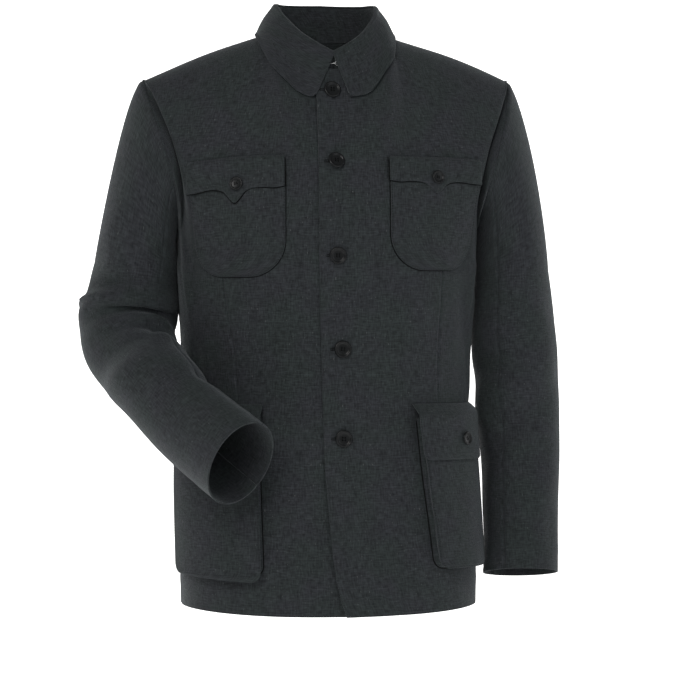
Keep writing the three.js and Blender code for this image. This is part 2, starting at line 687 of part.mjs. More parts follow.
function collarLeaf() {
  const grid = collarTurns(0).map((turn) => {
    const { fold, edge, out } = collarRow(turn)
    const start = fold.clone().add(vec(0, 0, WALL + SEAM_GAP + 0.1)).addScaledVector(out, -WALL)
    const over = fold.clone().add(vec(0, 0, WALL + SEAM_GAP - 0.4)).addScaledVector(out, 2.2)
    const shoulder = fold.clone().add(vec(0, 0, -3.5)).addScaledVector(out, 6)
    const chord = edge.clone().sub(shoulder)
    const along = vec(-out.y, out.x, 0)
    const flat = along.clone().cross(chord.clone().negate()).normalize()
    const points = [
      start,
      over,
      shoulder,
      shoulder.clone().addScaledVector(chord, 0.33).addScaledVector(out, 2.2),
      shoulder.clone().addScaledVector(chord, 0.67).addScaledVector(out, 1.6),
      edge,
    ]
    const up = vec(0, 0, 1)
    const overNormal = up.clone().addScaledVector(out, 0.5).normalize()
    const shoulderNormal = out.clone().add(vec(0, 0, 0.45)).normalize()
    const normals = [up, overNormal, shoulderNormal, flat, flat, flat]
    return points.map((point, k) => ({ point, normal: normals[k] }))
  })
  for (const row of grid) row.reverse()
  return clothSolid(grid, WALL, false)
}

// patch between two heights, its lower corners rounded
function patch(side, size, proud) {
  const rows = []
  const corner = size.corner
  const fall = size.top - size.bottom - corner
  const straight = Math.max(2, Math.round(fall / size.rowStep))
  for (let k = 0; k <= straight; k += 1) rows.push(size.top - (fall * k) / straight)
  for (let k = 1; k <= 4; k += 1) rows.push(size.bottom + corner * (1 - Math.sin((k * Math.PI) / 8)))
  const columns = Math.round(size.width / 16)
  const grid = []
  for (let i = 0; i <= columns; i += 1) {
    grid.push(
      rows.map((height) => {
        const low = Math.max(0, size.bottom + corner - height) / corner
        const inset = corner * (1 - Math.sqrt(Math.max(0, 1 - Math.min(low, 0.999) ** 2)))
        const across = inset + ((size.width - 2 * inset) * i) / columns
        const length = size.inner + size.shift(height) + across
        return onFront(side, length, height, proud(across / size.width) + TRIM_WALL)
      }),
    )
  }
  for (const row of grid) row.reverse()
  return clothSolid(grid, TRIM_WALL, side < 0)
}

function chestPocket(side) {
  const size = { ...CHEST_POCKET, shift: () => 0 }
  if (side > 0) size.bottom = LEFT_CHEST.bottom
  return patch(side, size, () => CHEST_POCKET.proud)
}

function chestFlapSize(side) {
  if (side < 0) return { ...CHEST_FLAP, flapShare: 1 }
  return { ...CHEST_FLAP, ...LEFT_CHEST }
}

function chestFlap(side) {
  const size = chestFlapSize(side)
  const columns = 12
  const shares = [0, 0.12, 0.26, 0.42, 0.6, 0.8, 1]
  const grid = []
  for (let i = 0; i <= columns; i += 1) {
    const drop = tableAt(CHEST_FLAP_DROP, 'share', i / columns).drop * size.flapShare
    grid.push(
      [...shares].reverse().map((share) => {
        const height = size.top - size.outerFall * (i / columns) ** 2 - drop * share
        const near = smoothstep(drop * share, 0, 5)
        const tip = (side < 0 ? 2.5 : 1.2) * share * share * (i / columns)
        const proud = 1 + (size.proud - 1) * near + tip
        return onFront(side, size.inner + (size.width * i) / columns, height, proud + TRIM_WALL)
      }),
    )
  }
  return clothSolid(grid, TRIM_WALL, side < 0)
}

// how far a lower pocket moves along the cloth by a height, and how flat it lies toward the side
const lowerShift = (side, height) => (side > 0 ? LEFT_LOWER.slant * (LOWER_FLAP.top - height) : 0)
const lowerDepth = (side, share) => 1 - (side > 0 ? LEFT_LOWER.outerFlat * smoothstep(share, 0.45, 1) : 0)

function lowerSize(side, size) {
  const shift = (height) => lowerShift(side, height)
  if (side < 0) return { ...size, shift }
  return { ...size, shift, width: size.width - LEFT_LOWER.narrower }
}

function lowerPocketSize(side) {
  const size = lowerSize(side, LOWER_POCKET)
  if (side > 0) size.bottom = LEFT_LOWER.bottom
  return size
}

function lowerPocket(side) {
  const proud = (share) => LOWER_POCKET.depth * lowerDepth(side, share) + SEAM_GAP
  return patch(side, lowerPocketSize(side), proud)
}

// gusset strip down one side, along the bottom and up the other
function lowerGusset(side) {
  const size = lowerPocketSize(side)
  const path = []
  const corner = size.corner
  const right = size.inner + size.width
  const drop = size.bottom + corner - size.top
  for (let k = 0; k < 6; k += 1) path.push([size.inner, size.top + (drop * k) / 6, 1, 0])
  const turnCorner = (centre, from) => {
    for (let k = 0; k <= 3; k += 1) {
      const angle = ((from + 30 * k) * Math.PI) / 180
      const [x, y] = [Math.cos(angle), Math.sin(angle)]
      path.push([centre + corner * x, size.bottom + corner + corner * y, -x, -y])
    }
  }
  turnCorner(size.inner + corner, 180)
  const floor = size.width - 2 * corner
  for (let k = 1; k < 9; k += 1) path.push([size.inner + corner + (floor * k) / 9, size.bottom, 0, 1])
  turnCorner(right - corner, 270)
  for (let k = 5; k >= 0; k -= 1) path.push([right, size.top + (drop * k) / 6, -1, 0])
  const outs = [0, 0.5, 1]
  const fold = [0, 2.5, 0]
  const layer = (extra) =>
    path.map(([length, height, inX, inZ]) =>
      outs.map((out, k) => {
        const move = fold[k] + extra + 0.2
        const top = size.depth * lowerDepth(side, (length - size.inner) / size.width) - 0.2
        const level = height + inZ * move
        return onFront(side, length + size.shift(level) + inX * move, level, 0.7 + (top - 0.7) * out).point
      }),
    )
  return solidFromGrids(layer(0), layer(WALL), side < 0)
}

function lowerFlap(side) {
  const size = lowerSize(side, LOWER_FLAP)
  const columns = 11
  const rows = [
    { height: size.top, out: 0.8 },
    { height: size.top - 6, out: 8 },
    { height: size.top - 12, out: 15 },
    { height: size.top - 18, out: size.proud },
    { height: size.top - 34, out: size.proud },
    { height: size.top - 50, out: size.proud },
    { height: size.bottom + size.corner, out: size.proud },
    { height: size.bottom + size.corner * 0.3, out: size.proud },
    { height: size.bottom, out: size.proud },
  ]
  const grid = []
  for (let i = 0; i <= columns; i += 1) {
    grid.push(
      [...rows].reverse().map(({ height, out }) => {
        const low = Math.max(0, size.bottom + size.corner - height) / size.corner
        const inset = size.corner * (1 - Math.sqrt(Math.max(0, 1 - Math.min(low, 0.99) ** 2)))
        const across = inset + ((size.width - 2 * inset) * i) / columns
        const fall = smoothstep(size.top - height, 0, 18)
        const flat = 1 - fall + fall * lowerDepth(side, across / size.width)
        const sag = 1.5 * Math.sin((Math.PI * i) / columns) * smoothstep(size.top - height, 18, 60)
        const proud = out * flat + 1.2 * (1 - flat) + sag + TRIM_WALL
        return onFront(side, size.inner + size.shift(height) + across, height, proud)
      }),
    )
  }
  return clothSolid(grid, TRIM_WALL, side < 0)
}

// four-hole button with a rim, its back on the plane it is set on
function buttonSolid({ radius, thick }) {
  const profile = [
    [0, 0],
    [radius * 0.72, 0],
    [radius, thick * 0.45],
    [radius * 0.82, thick],
    [radius * 0.62, thick * 0.66],
    [0, thick * 0.6],
  ]
  const lathe = new THREE.LatheGeometry(profile.map(([x, y]) => new THREE.Vector2(x, y)), 14)
  lathe.rotateX(Math.PI / 2)
  let disc = fromThree(lathe)
  for (let k = 0; k < 4; k += 1) {
    const angle = ((45 + 90 * k) * Math.PI) / 180
    const hole = new THREE.CylinderGeometry(radius * 0.1, radius * 0.1, thick * 3, 4)
    hole.rotateX(Math.PI / 2)
    hole.translate(radius * 0.22 * Math.cos(angle), radius * 0.22 * Math.sin(angle), 0)
    disc = disc.subtract(fromThree(hole))
  }
  return toThree(disc)
}

function fromThree(geometry) {
  const bare = new THREE.BufferGeometry()
  bare.setAttribute('position', geometry.getAttribute('position'))
  bare.setIndex(geometry.index)
  const merged = mergeVertices(bare, 1e-4)
  const vertProperties = new Float32Array(merged.getAttribute('position').array)
  const triVerts = new Uint32Array(merged.index.array)
  return new wasm.Manifold(new wasm.Mesh({ numProp: 3, vertProperties, triVerts }))
}

function toThree(solid) {
  const mesh = solid.getMesh()
  const geometry = new THREE.BufferGeometry()
  geometry.setAttribute('position', new THREE.Float32BufferAttribute(mesh.vertProperties, 3))
  geometry.setIndex(Array.from(mesh.triVerts))
  return geometry
}

// set a solid with its +Z along the outward way at a place, turned a little
function setOn(geometry, { point, normal }, out, degrees = 0) {
  const turn = new THREE.Quaternion().setFromUnitVectors(vec(0, 0, 1), normal)
  const placed = geometry.clone()
  placed.rotateZ((degrees * Math.PI) / 180)
  placed.applyQuaternion(turn)
  const where = point.clone().addScaledVector(normal, out)
  placed.translate(where.x, where.y, where.z)
  return placed
}

// bent wire solid along points
function wire(points, radius) {
  const path = new THREE.CatmullRomCurve3(points.map((p) => vec(...p)))
  const shape = new THREE.Shape()
  for (let k = 0; k < 6; k += 1) {
    const angle = (k * Math.PI) / 3
    const corner = [radius * Math.cos(angle), radius * Math.sin(angle)]
    if (k === 0) shape.moveTo(...corner)
    else shape.lineTo(...corner)
  }
  return new THREE.ExtrudeGeometry(shape, { steps: 9, extrudePath: path, curveSegments: 1 })
}

// cloth
add('back_panel', backPanel())
add('front_right', frontPanel(-1))
add('front_left', frontPanel(1))
for (const [name, side, rows, folds] of [
  ['left', 1, LEFT_ARM, LEFT_FOLDS],
  ['right', -1, RIGHT_ARM, RIGHT_FOLDS],
]) {
  const panels = sleevePanels(side, rows, folds)
  add(`sleeve_${name}_top`, panels.top)
  add(`sleeve_${name}_under`, panels.under)
}
add('collar_stand', collarStand())
add('collar_leaf', collarLeaf())

// pockets and their buttons
for (const [name, side] of [['left', 1], ['right', -1]]) {
  add(`chest_pocket_${name}`, chestPocket(side))
  add(`chest_flap_${name}`, chestFlap(side))
  add(`lower_pocket_${name}`, lowerPocket(side))
  add(`lower_gusset_${name}`, lowerGusset(side))
  add(`lower_flap_${name}`, lowerFlap(side))
  const small = buttonSolid(SMALL_BUTTON)
  const chest = chestFlapSize(side)
  const chestPlace = onFront(side, chest.inner + chest.width / 2, chest.top - chest.buttonDrop, 0)
  const chestProud = CHEST_FLAP.proud + TRIM_WALL + 1
  add(`chest_button_${name}`, setOn(small, chestPlace, chestProud, 10 * side), 'button')
  const lower = lowerSize(side, LOWER_FLAP)
  const buttonHeight = lower.top - lower.buttonDrop
  const along = lower.inner + lower.shift(buttonHeight) + lower.width / 2
  const lowerPlace = onFront(side, along, buttonHeight, 0)
  const lowerProud = lower.proud * lowerDepth(side, 0.5) + TRIM_WALL + 2.2
  add(`lower_button_${name}`, setOn(small, lowerPlace, lowerProud, -8 * side), 'button')
}

// front buttons
FRONT_BUTTONS.forEach(({ height, x, tip, proud }, k) => {
  const place = onFront(1, x, height, 0)
  add(`front_button_${k + 1}`, setOn(buttonSolid(FRONT_BUTTON), place, proud, tip), 'button')
})

// hook on one end of the stand, eye on the other
const { width, height: high, depth, radius: wireRadius } = COLLAR_HOOK
add('collar_hook', wire([
  [-width, -depth + 0.9, high],
  [-width * 0.3, -depth - 1, high],
  [width * 0.2, -depth - 1.8, high],
  [width * 0.45, -depth - 1.5, high],
  [width * 0.5, -depth - 0.6, high],
], wireRadius), 'metal')
add('collar_eye', wire([
  [width, -depth, high + 2.2],
  [width * 0.45, -depth - 0.2, high + 2.2],
  [width * 0.14, -depth - 0.3, high],
  [width * 0.45, -depth - 0.2, high - 2.2],
  [width, -depth, high - 2.2],
], wireRadius), 'metal')

export default group
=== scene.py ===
import math

import bpy
import numpy as np
from mathutils import Matrix, Vector


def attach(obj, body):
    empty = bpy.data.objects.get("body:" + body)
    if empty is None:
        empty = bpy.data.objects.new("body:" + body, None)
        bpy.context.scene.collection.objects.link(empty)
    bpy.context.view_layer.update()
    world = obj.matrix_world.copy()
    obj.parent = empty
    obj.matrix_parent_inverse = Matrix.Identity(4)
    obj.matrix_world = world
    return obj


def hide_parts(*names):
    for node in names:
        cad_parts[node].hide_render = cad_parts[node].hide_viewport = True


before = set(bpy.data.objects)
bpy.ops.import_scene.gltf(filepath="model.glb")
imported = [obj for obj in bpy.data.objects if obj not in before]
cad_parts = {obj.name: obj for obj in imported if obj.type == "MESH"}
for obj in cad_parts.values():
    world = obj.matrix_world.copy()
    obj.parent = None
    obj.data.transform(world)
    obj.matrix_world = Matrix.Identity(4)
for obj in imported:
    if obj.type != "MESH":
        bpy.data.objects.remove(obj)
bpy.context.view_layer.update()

# sizes below are millimetres, as the pattern is drawn; meshes are made in metres
mm = 0.001
halfTurn = math.pi / 2


# small tools

def rows(names, values):  # a table as one array for each named column
    return dict(zip(names.split(), np.array(values, float).T))


def hermite(u, start, startSlope, end, endSlope):
    u2, u3 = u * u, u * u * u
    return (start * (2 * u3 - 3 * u2 + 1) + startSlope * (u3 - 2 * u2 + u)
            + end * (3 * u2 - 2 * u3) + endSlope * (u3 - u2))


def curveAt(table, place):  # every column at a place in the first one, on a smooth curve
    names = list(table)
    key = table[names[0]]
    last = len(key) - 1
    place = np.clip(place, key[0], key[-1])
    i = np.clip(np.searchsorted(key, place) - 1, 0, last - 1)
    step = key[i + 1] - key[i]
    u = (place - key[i]) / step
    before = np.clip(np.arange(last + 1) - 1, 0, last)
    after = np.clip(np.arange(last + 1) + 1, 0, last)
    found = {}
    for name in names[1:]:
        value = table[name]
        slope = (value[after] - value[before]) / (key[after] - key[before])
        found[name] = hermite(u, value[i], slope[i] * step, value[i + 1], slope[i + 1] * step)
    return found


def loopAt(loop, place):  # point on a closed loop of equal steps
    i = np.floor(place).astype(int)
    u = (place - i)[..., None]
    at = lambda k: loop[np.mod(k, len(loop))]
    slope = lambda k: (at(k + 1) - at(k - 1)) / 2
    return hermite(u, at(i), slope(i), at(i + 1), slope(i + 1))


def smooth(value, low, high):
    u = np.clip((value - low) / (high - low), 0, 1)
    return u * u * (3 - 2 * u)


def bell(value, reach):
    return np.exp(-((value / reach) ** 2))


def unit(vectors):
    return vectors / np.maximum(np.linalg.norm(vectors, axis=-1, keepdims=True), 1e-9)


def xyz(*parts):
    return np.stack(np.broadcast_arrays(*[np.asarray(p, float) for p in parts]), -1)


def xyzOf(row):
    return xyz(row["x"], row["y"], row["z"])


def spaced(start, end, step, fine=()):  # even steps, with finer ones at both ends
    count = max(2, int(round(abs(end - start) / step)))
    stops = list(np.linspace(start, end, count + 1))
    way = 1 if end > start else -1
    for f in fine:
        stops += [start + way * f, end - way * f]
    stops = sorted(set(round(s, 6) for s in stops))
    return np.array(stops if way > 0 else stops[::-1])


def creaseField(creases, u, v):  # soft troughs and ridges along bent lines on the cloth
    depth = np.zeros(np.shape(u))
    for c in creases:
        t = np.linspace(0, 1, 33)
        lineU = (1 - t) ** 2 * c["u0"] + 2 * t * (1 - t) * c["u1"] + t * t * c["u2"]
        lineV = (1 - t) ** 2 * c["v0"] + 2 * t * (1 - t) * c["v1"] + t * t * c["v2"]
        du = u[..., None] - lineU
        dv = v[..., None] - lineV
        far = np.hypot(du, dv)
        k = np.argmin(far, axis=-1)
        near = np.take_along_axis(far, k[..., None], -1)[..., 0]
        wayU, wayV = np.gradient(lineU)[k], np.gradient(lineV)[k]
        offU = np.take_along_axis(du, k[..., None], -1)[..., 0]
        offV = np.take_along_axis(dv, k[..., None], -1)[..., 0]
        hand = np.sign(wayU * offV - wayV * offU)
        width = c["width"] * (1 + 0.6 * c["lean"] * hand)
        along = t[k]
        taper = np.sin(np.pi * np.clip(along, 0.02, 0.98)) ** 0.75 * (1 + 0.18 * np.sin(9 * along + c["u0"]))
        depth += c["depth"] * bell(near, width) * taper
    return depth


def creaseRows(values):
    names = "u0 v0 u1 v1 u2 v2 width lean depth".split()
    return [dict(zip(names, row)) for row in values]


# finishes

wool = {
    "dark": (0.0056, 0.0064, 0.0068), "light": (0.0175, 0.0195, 0.0205),
    "green": (0.90, 1.06, 1.02), "blue": (0.98, 0.98, 1.10), "fleck": (0.060, 0.064, 0.064),
    "thread": 0.95,       # mm between threads
    "slubWide": 1.9, "slubLong": 10.0, "castSize": 60.0,
    "roughness": 0.88, "sheen": 0.10, "sheenRoughness": 0.45, "bump": 0.35,
}
horn = {"colour": (0.0035, 0.0038, 0.0040), "swirl": (0.007, 0.0075, 0.008), "roughness": 0.22, "shine": 0.11}
threadLook = {"dark": (0.0016, 0.0018, 0.0019), "light": (0.004, 0.0045, 0.0048), "roughness": 0.85}
steel = {"colour": (0.30, 0.305, 0.31), "roughness": 0.30}
paper = {"colour": (0.93, 0.93, 0.925), "glow": 0.75}


class nodeBench:  # lays out one material's nodes
    def __init__(self, name):
        self.material = bpy.data.materials.new(name)
        self.material.use_nodes = True
        self.tree = self.material.node_tree
        self.shader = self.tree.nodes["Principled BSDF"]

    def add(self, kind, inputs=None, **settings):
        node = self.tree.nodes.new(kind)
        for key, value in settings.items():
            setattr(node, key, value)
        for key, value in (inputs or {}).items():
            if isinstance(value, bpy.types.NodeSocket):
                self.tree.links.new(value, node.inputs[key])
            else:
                node.inputs[key].default_value = value
        return node

    def sum(self, operation, a, b=0.0, clamp=False):
        node = self.add("ShaderNodeMath", {0: a, 1: b}, operation=operation, use_clamp=clamp)
        return node.outputs[0]

    def mix(self, share, a, b, blend="MIX"):
        node = self.add("ShaderNodeMix", data_type="RGBA", blend_type=blend)
        for key, value in (("Factor", share), ("A", a), ("B", b)):
            socket = [s for s in node.inputs if s.name == key and s.enabled][0]
            if isinstance(value, bpy.types.NodeSocket):
                self.tree.links.new(value, socket)
            else:
                socket.default_value = value if key == "Factor" else (*value, 1)
        return [s for s in node.outputs if s.enabled][0]

    def ranged(self, value, toLow, toHigh, fromLow=0.0, fromHigh=1.0):
        limits = {"From Min": fromLow, "From Max": fromHigh, "To Min": toLow, "To Max": toHigh}
        return self.add("ShaderNodeMapRange", {"Value": value, **limits}).outputs[0]

    def join(self, socket, value):
        self.tree.links.new(value, self.shader.inputs[socket])


def makeWool():
    bench = nodeBench("charcoalWool")
    grain = bench.add("ShaderNodeUVMap", uv_map="grain").outputs[0]  # 1 is 100 mm of cloth

    def noiseOf(alongU, alongV, detail=2.0, rough=0.55):  # patches of so many mm by so many
        scale = (100 / alongU, 100 / alongV, 1)
        at = bench.add("ShaderNodeMapping", {"Vector": grain, "Scale": scale}).outputs[0]
        inputs = {"Vector": at, "Scale": 1.0, "Detail": detail, "Roughness": rough}
        return bench.add("ShaderNodeTexNoise", inputs).outputs[0]

    warp = noiseOf(wool["slubWide"], wool["slubLong"])
    weft = noiseOf(wool["slubLong"], wool["slubWide"])
    cross = bench.sum("MULTIPLY", bench.sum("ADD", warp, weft), 0.5)
    cloudy = noiseOf(22, 30, 3.0)
    level = bench.sum("ADD", bench.sum("MULTIPLY", bench.sum("SUBTRACT", cross, 0.5), 3.4),
                      bench.sum("MULTIPLY", bench.sum("SUBTRACT", cloudy, 0.5), 0.5))
    level = bench.sum("ADD", level, 0.47, clamp=True)
    base = bench.mix(level, wool["dark"], wool["light"])
    cast = bench.add("ShaderNodeMapRange", {"Value": noiseOf(wool["castSize"], wool["castSize"] * 0.8, 1.5),
                                            "From Min": 0.38, "From Max": 0.62}).outputs[0]
    tinted = bench.mix(1.0, base, bench.mix(cast, wool["green"], wool["blue"]), "MULTIPLY")
    fleck = bench.add("ShaderNodeMapRange", {"Value": noiseOf(2.4, 5.0, 1.0), "From Min": 0.70,
                                             "From Max": 0.78}).outputs[0]
    colour = bench.mix(bench.sum("MULTIPLY", fleck, 0.55), tinted, wool["fleck"])
    bench.join("Base Color", colour)

    apart = bench.add("ShaderNodeSeparateXYZ", {0: grain})
    turn = 2 * math.pi * 100 / wool["thread"]
    over = bench.sum("SINE", bench.sum("MULTIPLY", apart.outputs[0], turn))
    under = bench.sum("SINE", bench.sum("MULTIPLY", apart.outputs[1], turn))
    weave = bench.sum("MULTIPLY", bench.sum("MULTIPLY", over, under), 0.30)
    height = bench.sum("ADD", weave, bench.sum("MULTIPLY", cross, 1.6))
    bump = bench.add("ShaderNodeBump", {"Height": height, "Strength": wool["bump"], "Distance": 0.0006})
    bench.join("Normal", bump.outputs[0])
    bench.join("Roughness", bench.ranged(cross, wool["roughness"] + 0.08, wool["roughness"] - 0.10, 0.3, 0.7))
    bench.shader.inputs["Specular IOR Level"].default_value = 0.18
    bench.shader.inputs["Sheen Weight"].default_value = wool["sheen"]
    bench.shader.inputs["Sheen Roughness"].default_value = wool["sheenRoughness"]
    bench.shader.inputs["Sheen Tint"].default_value = (0.62, 0.68, 0.72, 1)
    return bench.material


def makeHorn():
    bench = nodeBench("blackHorn")
    where = bench.add("ShaderNodeTexCoord").outputs["Object"]
    swirl = bench.add("ShaderNodeTexNoise", {"Vector": where, "Scale": 160.0, "Detail": 3.0,
                                             "Distortion": 1.4}).outputs[0]
    bench.join("Base Color", bench.mix(swirl, horn["colour"], horn["swirl"]))
    worn = bench.add("ShaderNodeTexNoise", {"Vector": where, "Scale": 900.0}).outputs[0]
    bench.join("Roughness", bench.ranged(worn, horn["roughness"] - 0.05, horn["roughness"] + 0.10))
    bench.shader.inputs["Specular IOR Level"].default_value = horn["shine"]
    return bench.material


def makeThread(name, dark, light):
    bench = nodeBench(name)
    where = bench.add("ShaderNodeTexCoord").outputs["Object"]
    twist = bench.add("ShaderNodeTexNoise", {"Vector": where, "Scale": 2600.0, "Detail": 2.0}).outputs[0]
    bench.join("Base Color", bench.mix(twist, dark, light))
    bench.join("Normal", bench.add("ShaderNodeBump", {"Height": twist, "Strength": 0.3,
                                                      "Distance": 0.0002}).outputs[0])
    bench.shader.inputs["Roughness"].default_value = threadLook["roughness"]
    bench.shader.inputs["Specular IOR Level"].default_value = 0.08
    return bench.material


def makeSteel():
    bench = nodeBench("hookSteel")
    where = bench.add("ShaderNodeTexCoord").outputs["Object"]
    rub = bench.add("ShaderNodeTexNoise", {"Vector": where, "Scale": 1400.0, "Detail": 3.0}).outputs[0]
    bench.join("Roughness", bench.ranged(rub, steel["roughness"] - 0.06, steel["roughness"] + 0.14))
    bench.join("Base Color", bench.mix(rub, steel["colour"], tuple(c * 0.82 for c in steel["colour"])))
    bench.shader.inputs["Metallic"].default_value = 1.0
    return bench.material


def makePaper():
    bench = nodeBench("palePaper")
    where = bench.add("ShaderNodeTexCoord").outputs["Object"]
    fibre = bench.add("ShaderNodeTexNoise", {"Vector": where, "Scale": 3.0, "Detail": 4.0}).outputs[0]
    bench.join("Base Color", bench.mix(fibre, paper["colour"], tuple(c * 0.985 for c in paper["colour"])))
    bench.shader.inputs["Roughness"].default_value = 0.95
    bench.shader.inputs["Emission Color"].default_value = (1, 1, 1, 1)
    bench.shader.inputs["Emission Strength"].default_value = paper["glow"]
    return bench.material


looks = {
    "cloth": makeWool(), "button": makeHorn(), "metal": makeSteel(),
    "thread": makeThread("darkThread", threadLook["dark"], threadLook["light"]),
}
print("finishes ready")


# making pieces

def keep(name, mesh, look, stands=()):  # a finished piece on the one body
    obj = bpy.data.objects.new(name, mesh)
    bpy.context.scene.collection.objects.link(obj)
    mesh.materials.append(looks[look])
    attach(obj, "root")
    if stands:
        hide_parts(*stands)
    return obj


def meshOf(name, points, faces, grain=None):
    mesh = bpy.data.meshes.new(name)
    mesh.from_pydata((points * mm).tolist(), [], [tuple(f) for f in faces])
    mesh.polygons.foreach_set("use_smooth", [True] * len(mesh.polygons))
    if grain is not None:
        corner = np.zeros(len(mesh.loops), int)
        mesh.loops.foreach_get("vertex_index", corner)
        layer = mesh.uv_layers.new(name="grain")
        layer.data.foreach_set("uv", (grain[corner] / 100).ravel())
    mesh.update()
    return mesh


def grainOf(points, shift=(0, 0)):  # lengths along the cloth, so the weave keeps its size
    across = np.linalg.norm(np.diff(points, axis=0), axis=-1)
    along = np.linalg.norm(np.diff(points, axis=1), axis=-1)
    u = np.vstack([np.zeros((1, points.shape[1])), np.cumsum(across, axis=0)])
    v = np.hstack([np.zeros((points.shape[0], 1)), np.cumsum(along, axis=1)])
    return np.stack([u + shift[0], v + shift[1]], -1)


def clothPiece(name, points, normals, thick, stands, look="cloth", slot="cloth", grain=None):
    count, width = points.shape[:2]
    index = np.arange(count * width).reshape(count, width)
    quads = np.stack([index[:-1, :-1], index[1:, :-1], index[1:, 1:], index[:-1, 1:]], -1)
    i, j = count // 2, width // 2
    turned = np.cross(points[i + 1, j] - points[i, j], points[i, j + 1] - points[i, j]) @ normals[i, j]
    quads = quads.reshape(-1, 4)
    if turned < 0:
        quads = quads[:, ::-1]
    grain = grainOf(points) if grain is None else grain
    mesh = meshOf(name, points.reshape(-1, 3), quads.tolist(), grain.reshape(-1, 2))
    obj = keep(name, mesh, look, stands)
    shell = obj.modifiers.new("wall", "SOLIDIFY")
    shell.thickness = thick * mm
    shell.offset = -1
    edge = obj.modifiers.new("softEdge", "BEVEL")
    edge.width = min(0.45, thick * 0.3) * mm
    edge.segments = 2
    edge.limit_method = "ANGLE"
    edge.angle_limit = math.radians(55)
    return obj


def tubes(paths, radius, sides=6, pinch=0.55):  # short round threads, one for each path
    points, faces = [], []
    for path in paths:
        path = np.array(path, float)
        way = unit(np.gradient(path, axis=0))
        side = unit(np.cross(way, np.array([0.13, 0.21, 0.97])))
        other = np.cross(way, side)
        start = len(points)
        for k, (p, a, b) in enumerate(zip(path, side, other)):
            r = radius * (pinch if k in (0, len(path) - 1) else 1)
            for s in range(sides):
                angle = 2 * math.pi * s / sides
                points.append(p + r * (math.cos(angle) * a + math.sin(angle) * b))
        for k in range(len(path) - 1):
            for s in range(sides):
                low = start + k * sides
                nextSide = (s + 1) % sides
                faces.append((low + s, low + nextSide, low + sides + nextSide, low + sides + s))
        faces.append(tuple(start + s for s in range(sides))[::-1])
        faces.append(tuple(start + (len(path) - 1) * sides + s for s in range(sides)))
    return np.array(points), faces


sewing = {"stitch": 2.6, "gap": 0.9, "radius": 0.26, "sink": 0.10}


def stitchRow(name, line, normals, look="thread"):  # running stitches along a line on the cloth
    step = np.r_[0, np.cumsum(np.linalg.norm(np.diff(line, axis=0), axis=1))]
    at = lambda d, values: np.stack([np.interp(d, step, values[:, k]) for k in range(3)], -1)
    paths = []
    start = 1.0
    while start + sewing["stitch"] < step[-1]:
        d = np.linspace(start, start + sewing["stitch"], 4)
        lift = np.array([-0.35, 0.16, 0.16, -0.35]) - sewing["sink"]
        paths.append(at(d, line) + at(d, normals) * lift[:, None])
        start += sewing["stitch"] + sewing["gap"]
    points, faces = tubes(paths, sewing["radius"], 5)
    return keep(name, meshOf(name, points, faces), look)


# body of the jacket

body = {
    "wall": 2.0, "roundness": 0.83, "hem": -746, "hemRise": 6, "chestLine": -300, "neckShare": 0.3,
    "seamShare": 0.62, "lead": 0.95, "step": 4.2, "roundLength": 292, "yokeLength": 262,
    "sections": rows("height wide front back", [
        (-760, 193, 147, 131), (-680, 194, 146, 130), (-590, 192, 142, 124), (-500, 188, 138, 115),
        (-420, 189, 137, 112), (-340, 192, 140, 121), (-262, 195, 141, 130), (-180, 195, 136, 133)]),
    "shoulder": rows("out x y z", [(0, 80, 0, 3), (0.5, 158, 4, -24), (1, 238, 8, -59)]),
    "armhole": np.array([
        (238, 8, -59), (230, -40, -95), (216, -70, -148), (200, -64, -212),
        (194, 4, -262), (204, 62, -212), (221, 76, -148), (233, 50, -95)], float),
    "meet": rows("down x y z", [
        (0, 0, 1, 0), (0.25, 0.62, 0.42, 0.66), (0.5, 0.62, 0.22, 0.75), (0.75, 0.38, 0.12, 0.92),
        (1, 0.12, 0, 0.99)]),
}
# the left shoulder is a little higher than the right
leftSet = {"up": 6, "out": 5, "inner": 70, "outer": 225, "low": -430, "high": -130}
hemSwing = {"out": 4, "above": -540, "below": -720}
seams = {"groove": 1.1, "reach": 2.6, "ridge": 0.35, "hemUp": 32}

# large folds of the cloth, as cut: side, round (0 front, 1 side, 2 back), height, reaches, slant, depth
bodyFolds = [
    (-1, 0.62, -430, 0.1, 90, 0.0012, -4), (-1, 0.8, -345, 0.09, 60, 0.002, 5),
    (1, 0.74, -390, 0.09, 80, -0.0015, -5), (1, 0.88, -340, 0.08, 60, -0.002, 4),
    (-1, 1.3, -440, 0.12, 90, 0.001, -6), (1, 1.34, -420, 0.12, 90, -0.001, -6),
    (-1, 1.55, -330, 0.1, 110, -0.0012, 5), (1, 1.52, -350, 0.1, 100, 0.0012, 5)]

